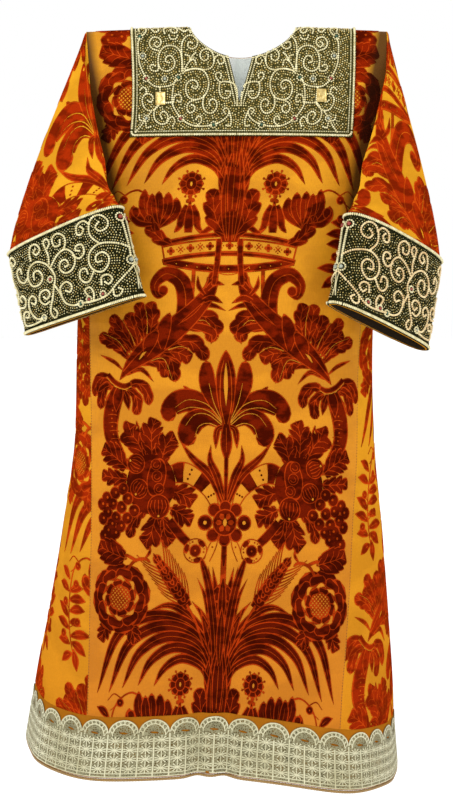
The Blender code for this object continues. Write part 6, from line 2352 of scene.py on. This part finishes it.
def velvet(name, high, low, sheen, tint, with_painted_shade=False):
    """Cut pile: brushed lighter and darker, dense and without gloss, and for the panels with painted shade on
    the sides of the chest beside the sleeves.
    """
    paint = Paint(name, 0.85, 0.0, 0.0)
    tone = paint.mix(paint.height(SKIRT_FOOT, SHOULDERS), low, high)
    brushed = paint.noise(30.0, (1.0, 1.0, 1.8), 4.0)
    tone = paint.stained(tone, brushed, BLOTCHES, (0.0, 0.8), dimmed(low, 0.42))
    tuft = paint.noise(900.0, (1.0, 1.0, 0.6), 1.0)
    tone = paint.stained(tone, tuft, (0.0, 1.0), (0.35, 0.0), dimmed(low, 0.3))
    if with_painted_shade:
        # painted shade: the pile at the sides of the chest is darkened where the sleeves shadow the body
        tone = paint.stained(tone, paint.painted_shade_beside_sleeves(), (0.0, 1.0), (0.0, CHEST_SHADE),
                             (0.02, 0.005, 0.002))
    paint.colour(tone)
    paint.bump(paint.sum(paint.noise(300.0), tuft, 0.6), 0.0006, 0.6)
    paint.sheen(sheen, tint, 0.35)


def add_cloth_materials():
    """The satins, the velvet in its tones, the linings and the embroidered pieces' grounds."""
    satin("ground", (0.76, 0.33, 0.012), (0.54, 0.165, 0.009), True)
    satin("side_ground", (0.78, 0.36, 0.016), (0.60, 0.22, 0.012), False)
    satin("silk", (0.46, 0.165, 0.009), (0.38, 0.13, 0.008), False)
    velvet("pile_deep", (0.26, 0.015, 0.0012), (0.070, 0.005, 0.0012), 0.04, (1.0, 0.10, 0.01), True)
    velvet("pile_rim", (0.50, 0.050, 0.004), (0.38, 0.032, 0.003), 0.04, (1.0, 0.12, 0.01), True)
    velvet("pile_vein", (0.58, 0.085, 0.005), (0.44, 0.050, 0.003), 0.04, (1.0, 0.2, 0.02), True)
    # Lighter copies of the pile for the gores and sleeves: painted sheen, where the velvet turns away at the
    # sides.
    velvet("side_deep", (0.40, 0.026, 0.002), (0.32, 0.020, 0.002), 0.12, (1.0, 0.16, 0.01))
    velvet("side_rim", (0.60, 0.070, 0.004), (0.54, 0.056, 0.004), 0.12, (1.0, 0.2, 0.01))
    velvet("side_vein", (0.66, 0.12, 0.006), (0.58, 0.09, 0.005), 0.12, (1.0, 0.25, 0.02))

    paint = Paint("lining", 0.7)
    fold = paint.noise(16.0, (2.6, 1.0, 0.12), 1.0)
    weave = paint.noise(700.0)
    # The lining is darker in the hollows of its soft folds: painted shade.
    paint.colour(paint.mix(fold, (0.86, 0.92, 0.86), (0.98, 0.99, 0.95)))
    paint.bump(paint.sum(fold, weave, 0.004), 0.006, 0.6)

    # Painted shadow: the inside of the sleeves and cuffs is near black, so that their openings read as shade.
    paint = Paint("cuff_lining_painted_shadow", 0.8, 0.0, 0.1)
    weave = paint.noise(500.0)
    paint.colour(paint.mix(weave, (0.016, 0.010, 0.006), (0.045, 0.028, 0.014)))
    paint.bump(weave, 0.0005, 0.6)

    for name, colour, dark in (("collar_ground", (0.095, 0.080, 0.020), (0.030, 0.027, 0.006)),
                               ("cuff_ground", (0.024, 0.023, 0.006), (0.006, 0.007, 0.001))):
        paint = Paint(name, 0.8, 0.0, 0.04)
        weave = paint.cells(480.0)
        paint.colour(paint.mix(weave, dark, colour))
        paint.bump(weave, 0.0006, 0.7)


def add_trimming_materials():
    """The pearls, the beads, the stones, the metal, the lace, the cord, the stitches and the floor."""
    # The warm pearls of the right cuff are partly their own colour and partly painted shade.
    for name, colour, dark, metal in (("pearl", (0.90, 0.84, 0.52), (0.58, 0.49, 0.22), 0.0),
                                      ("pearl_warm_and_shaded", (0.90, 0.76, 0.42), (0.62, 0.40, 0.16), 0.0),
                                      ("bead_gold", (0.86, 0.64, 0.20), (0.46, 0.31, 0.07), 0.5),
                                      ("bead_pale", (0.96, 0.87, 0.48), (0.64, 0.53, 0.20), 0.3),
                                      ("bead_dark", (0.36, 0.28, 0.07), (0.14, 0.11, 0.028), 0.5)):
        paint = Paint(name, 0.32, metal)
        paint.colour(paint.mix(paint.noise(110.0), dark, colour))
        paint.bump(paint.noise(500.0), 0.0003, 0.5)
        paint.coat(0.3, 0.12)

    for name, colour in (("stone_red", (0.34, 0.022, 0.008)), ("stone_green", (0.012, 0.10, 0.045)),
                         ("stone_clear", (0.42, 0.46, 0.36))):
        paint = Paint(name, 0.1)
        paint.colour(paint.mix(paint.noise(260.0), dimmed(colour, 0.5), colour))
        paint.coat(0.5, 0.04)

    paint = Paint("gold", 0.32, 0.85)
    grain = paint.noise(170.0)
    paint.colour(paint.mix(grain, (0.44, 0.29, 0.07), (0.84, 0.66, 0.28)))
    paint.bump(grain, 0.0005, 0.5)

    paint = Paint("lace_thread", 0.5, 0.0, 0.4)
    twist = paint.noise(620.0, detail=2.0)
    tarnish = paint.noise(14.0)
    tone = paint.mix(tarnish, (0.54, 0.50, 0.29), (0.78, 0.75, 0.51))
    paint.colour(paint.stained(tone, twist, (0.0, 1.0), (0.35, 0.0), (0.22, 0.19, 0.11)))
    paint.bump(twist, 0.0006, 0.8)

    paint = Paint("lace_net", 0.7, 0.0, 0.2)
    hole = paint.cells(260.0)
    tone = paint.mix(paint.noise(45.0), (0.045, 0.042, 0.015), (0.18, 0.10, 0.014))
    paint.colour(paint.mix(hole, (0.27, 0.25, 0.14), tone))
    paint.bump(hole, -0.0008, 0.8)

    paint = Paint("cord", 0.55, 0.0, 0.4)
    strand = paint.noise(700.0)
    paint.colour(paint.mix(strand, (0.16, 0.085, 0.02), (0.44, 0.27, 0.085)))
    paint.bump(strand, 0.0005, 0.8)

    paint = Paint("stitch", 0.8)
    paint.colour(paint.mix(paint.noise(300.0), (0.05, 0.02, 0.006), (0.16, 0.06, 0.012)))

    paint = Paint("floor", 0.9, 0.0, 0.1)
    paint.colour(paint.mix(paint.noise(3.0), (0.93, 0.93, 0.93), (0.95, 0.95, 0.95)))
    paint.shader.inputs["Emission Color"].default_value = (1.0, 1.0, 1.0, 1.0)
    paint.shader.inputs["Emission Strength"].default_value = 0.3


def add_camera():
    """The camera stands before the garment and looks slightly down."""
    camera = bpy.data.cameras.new("camera")
    camera.lens = 72.18
    camera.sensor_width = 36.0
    made = bpy.data.objects.new("camera", camera)
    made.location = (-0.026, -3.1, -0.465)
    made.rotation_euler = (math.radians(85.61), 0.0, 0.0)
    bpy.context.scene.collection.objects.link(made)
    bpy.context.scene.camera = made


LIT_SPOT = (0, 0, -0.6)


def add_light(name, place, size, power):
    """A square light that is aimed at the garment's chest."""
    light = bpy.data.lights.new(name, "AREA")
    light.shape = "RECTANGLE"
    light.size = light.size_y = size
    light.energy = power
    made = bpy.data.objects.new(name, light)
    made.location = place
    made.rotation_euler = (Vector(LIT_SPOT) - Vector(place)).to_track_quat("-Z", "Y").to_euler()
    bpy.context.scene.collection.objects.link(made)


def add_studio():
    """A white room with two lights and a floor under the garment."""
    world = bpy.data.worlds.new("studio")
    world.use_nodes = True
    background = world.node_tree.nodes["Background"]
    background.inputs["Color"].default_value = (1.0, 1.0, 1.0, 1.0)
    background.inputs["Strength"].default_value = 1.0
    bpy.context.scene.world = world
    add_light("key", (-1.6, -2.6, 1.6), 1.6, 40)
    add_light("fill", (2.2, -2.4, 0.4), 2.0, 14)
    bpy.ops.mesh.primitive_plane_add(size=40, location=(0, 6, -1.60))
    floor = bpy.context.object
    floor.name = "floor"
    floor.data.materials.append(MATERIALS["floor"])


# ---------------------------------------------------------------- the garment

SIDES = {LEFT: "left", RIGHT: "right"}
FACES = {FRONT: "front", BACK: "back"}

# The node of the frame that each of these pieces stands for.
STANDS_FOR = {
    "front_cloth": "front_panel",
    "back_cloth": "back_panel",
    "gore_left_cloth": "gore_left",
    "gore_right_cloth": "gore_right",
    "sleeve_left_cloth": "sleeve_left",
    "sleeve_right_cloth": "sleeve_right",
    "cuff_left_cloth": "cuff_left",
    "cuff_right_cloth": "cuff_right",
    "collar_cloth": "collar",
    "neck_lining_cloth": "neck_lining",
    "hem_band_cloth": "hem_band",
    "hem_lace_front_threads": "hem_lace_front",
    "hem_lace_back_threads": "hem_lace_back",
    "hem_cord_twisted": "hem_cord",
    "plaque_left_chased": "plaque_left",
    "plaque_right_chased": "plaque_right",
}

# Each cloth's cut: its width and length in metres, its flat area in square metres, what it lies on and what
# is on it.
SHEETS = {
    "front_cloth": (0.57, 1.34, 0.68, (), ("front_velvet", "seam_stitches")),
    "back_cloth": (0.57, 1.36, 0.70, (), ("back_velvet",)),
    "gore_left_cloth": (0.37, 0.92, 0.235, (), ("gore_left_velvet",)),
    "gore_right_cloth": (0.40, 0.92, 0.26, (), ("gore_right_velvet",)),
    "sleeve_left_cloth": (0.66, 0.475, 0.22, (), ("sleeve_left_velvet",)),
    "sleeve_right_cloth": (0.66, 0.475, 0.22, (), ("sleeve_right_velvet",)),
    "cuff_left_cloth": (0.57, 0.172, 0.096, ("sleeve_left_cloth",),
                        ("cuff_left_pearls", "cuff_left_beads", "cuff_left_stones")),
    "cuff_right_cloth": (0.55, 0.176, 0.095, ("sleeve_right_cloth",),
                         ("cuff_right_pearls", "cuff_right_beads", "cuff_right_stones")),
    "collar_cloth": (0.46, 0.46, 0.17, ("front_cloth", "back_cloth"),
                     ("collar_pearls", "collar_beads", "collar_stones", "plaque_left_chased",
                      "plaque_right_chased")),
    "neck_lining_cloth": (0.20, 0.21, 0.03, ("back_cloth",), ()),
    "hem_band_cloth": (2.0, 0.11, 0.22, (), ("hem_lace_front_threads", "hem_lace_back_threads",
                                             "hem_cord_twisted")),
}


def fresh_beads():
    """Empty gatherings for pearls, small beads and stones."""
    return (Beads(PEARL, ["pearl", "pearl_warm_and_shaded"]), Beads(SMALL_BEAD, ["bead_gold", "bead_pale", "bead_dark"]),
            Beads(PEARL, ["stone_red", "stone_green", "stone_clear"]))


def sewn_on(place, dressing):
    """The gathered pearls, beads and stones as the pieces of one place."""
    return [gathered.make(place + "_" + kind)
            for gathered, kind in zip(dressing, ("pearls", "beads", "stones"))]


def build_gore_and_pile(side, gore, figure):
    """A gore and the pile on it."""
    place = "gore_" + SIDES[side]
    return [build_gore(place + "_cloth", gore, side),
            add_pile(place + "_velvet", gore, laid(figure, *LAID_ON[place]), chart_border(gore), True,
                     SHEEN_LIT_SIDE_PILE)]


def build_sleeve_and_cuff(side, panels, gore, figure):
    """A sleeve and its pile, its cuff and what is sewn on that."""
    loop, facing, onward = armhole(side, panels, gore)
    rings, low = sleeve_rings(side, loop, facing, onward)
    sleeve, cuff = fine_rings(rings, low, loop_turns(loop))
    place = "sleeve_" + SIDES[side]
    made = [build_sleeve(place + "_cloth", sleeve, cuff, side)]
    order, chart, _ = ring_chart(sleeve, SLEEVE_CUT)
    cloth = Cloth(sleeve[:, order], chart, -side)
    made.append(add_pile(place + "_velvet", cloth, laid(figure, *LAID_ON[place]), chart_border(cloth),
                         side == LEFT, SHEEN_LIT_SIDE_PILE))
    place = "cuff_" + SIDES[side]
    made.append(build_cuff(place + "_cloth", cuff, side))
    order, chart, width = ring_chart(cuff, SLEEVE_CUT)
    dressing = fresh_beads()
    embroider_cuff(Cloth(cuff[:, order], chart, -side), width, *CUFF_TONES[side], *dressing)
    return made + sewn_on(place, dressing)


def build_collar_and_work(panels):
    """The collar and what is sewn on it."""
    made = [build_collar(panels)]
    dressing = fresh_beads()
    for face in FACES:
        for side in SIDES:
            embroider_collar(panels[face], face, side, *dressing)
    return made + sewn_on("collar", dressing)


def build_hem():
    """The band round the hem, its lace in two lengths and its cord."""
    grid, normals, heights = band_grid()
    return [build_band(grid, normals),
            build_lace("hem_lace_front_threads", grid, heights, 0),
            build_lace("hem_lace_back_threads", grid, heights, 1),
            build_cord(grid, normals)]


def build_garment():
    """Every piece of the garment."""
    panels = {face: panel_cloth(face) for face in FACES}
    gores = {side: gore_cloth(side) for side in SIDES}
    figure = velvet_figure()
    made = [build_panel(place + "_cloth", panels[face], face) for face, place in FACES.items()]
    for face, place in FACES.items():
        made.append(add_pile(place + "_velvet", panels[face], laid(figure, *LAID_ON[place]), panel_border(),
                             face == FRONT, stand=PANEL_OUTLINE_STAND[face]))
    for side in SIDES:
        made += build_gore_and_pile(side, gores[side], figure)
        made += build_sleeve_and_cuff(side, panels, gores[side], figure)
    made += build_collar_and_work(panels)
    made.append(build_neck_lining(panels[BACK]))
    made += build_hem()
    made += [build_plaque("plaque_" + word + "_chased", panels[FRONT], side) for side, word in SIDES.items()]
    made.append(build_seams(panels))
    return made


def main():
    """Loads the frame, makes the studio and the garment, attaches each piece to the root and hides the
    frame's node that it stands for.
    """
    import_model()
    bpy.context.scene.view_settings.view_transform = "Standard"
    add_cloth_materials()
    add_trimming_materials()
    add_camera()
    add_studio()
    pieces = {piece.name: piece for piece in build_garment()}
    for name, piece in pieces.items():
        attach(piece, "root")
        if name in STANDS_FOR:
            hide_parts(STANDS_FOR[name])
    for name, (width, length, area, under, upon) in SHEETS.items():
        [pieces[other] for other in upon]
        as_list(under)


main()
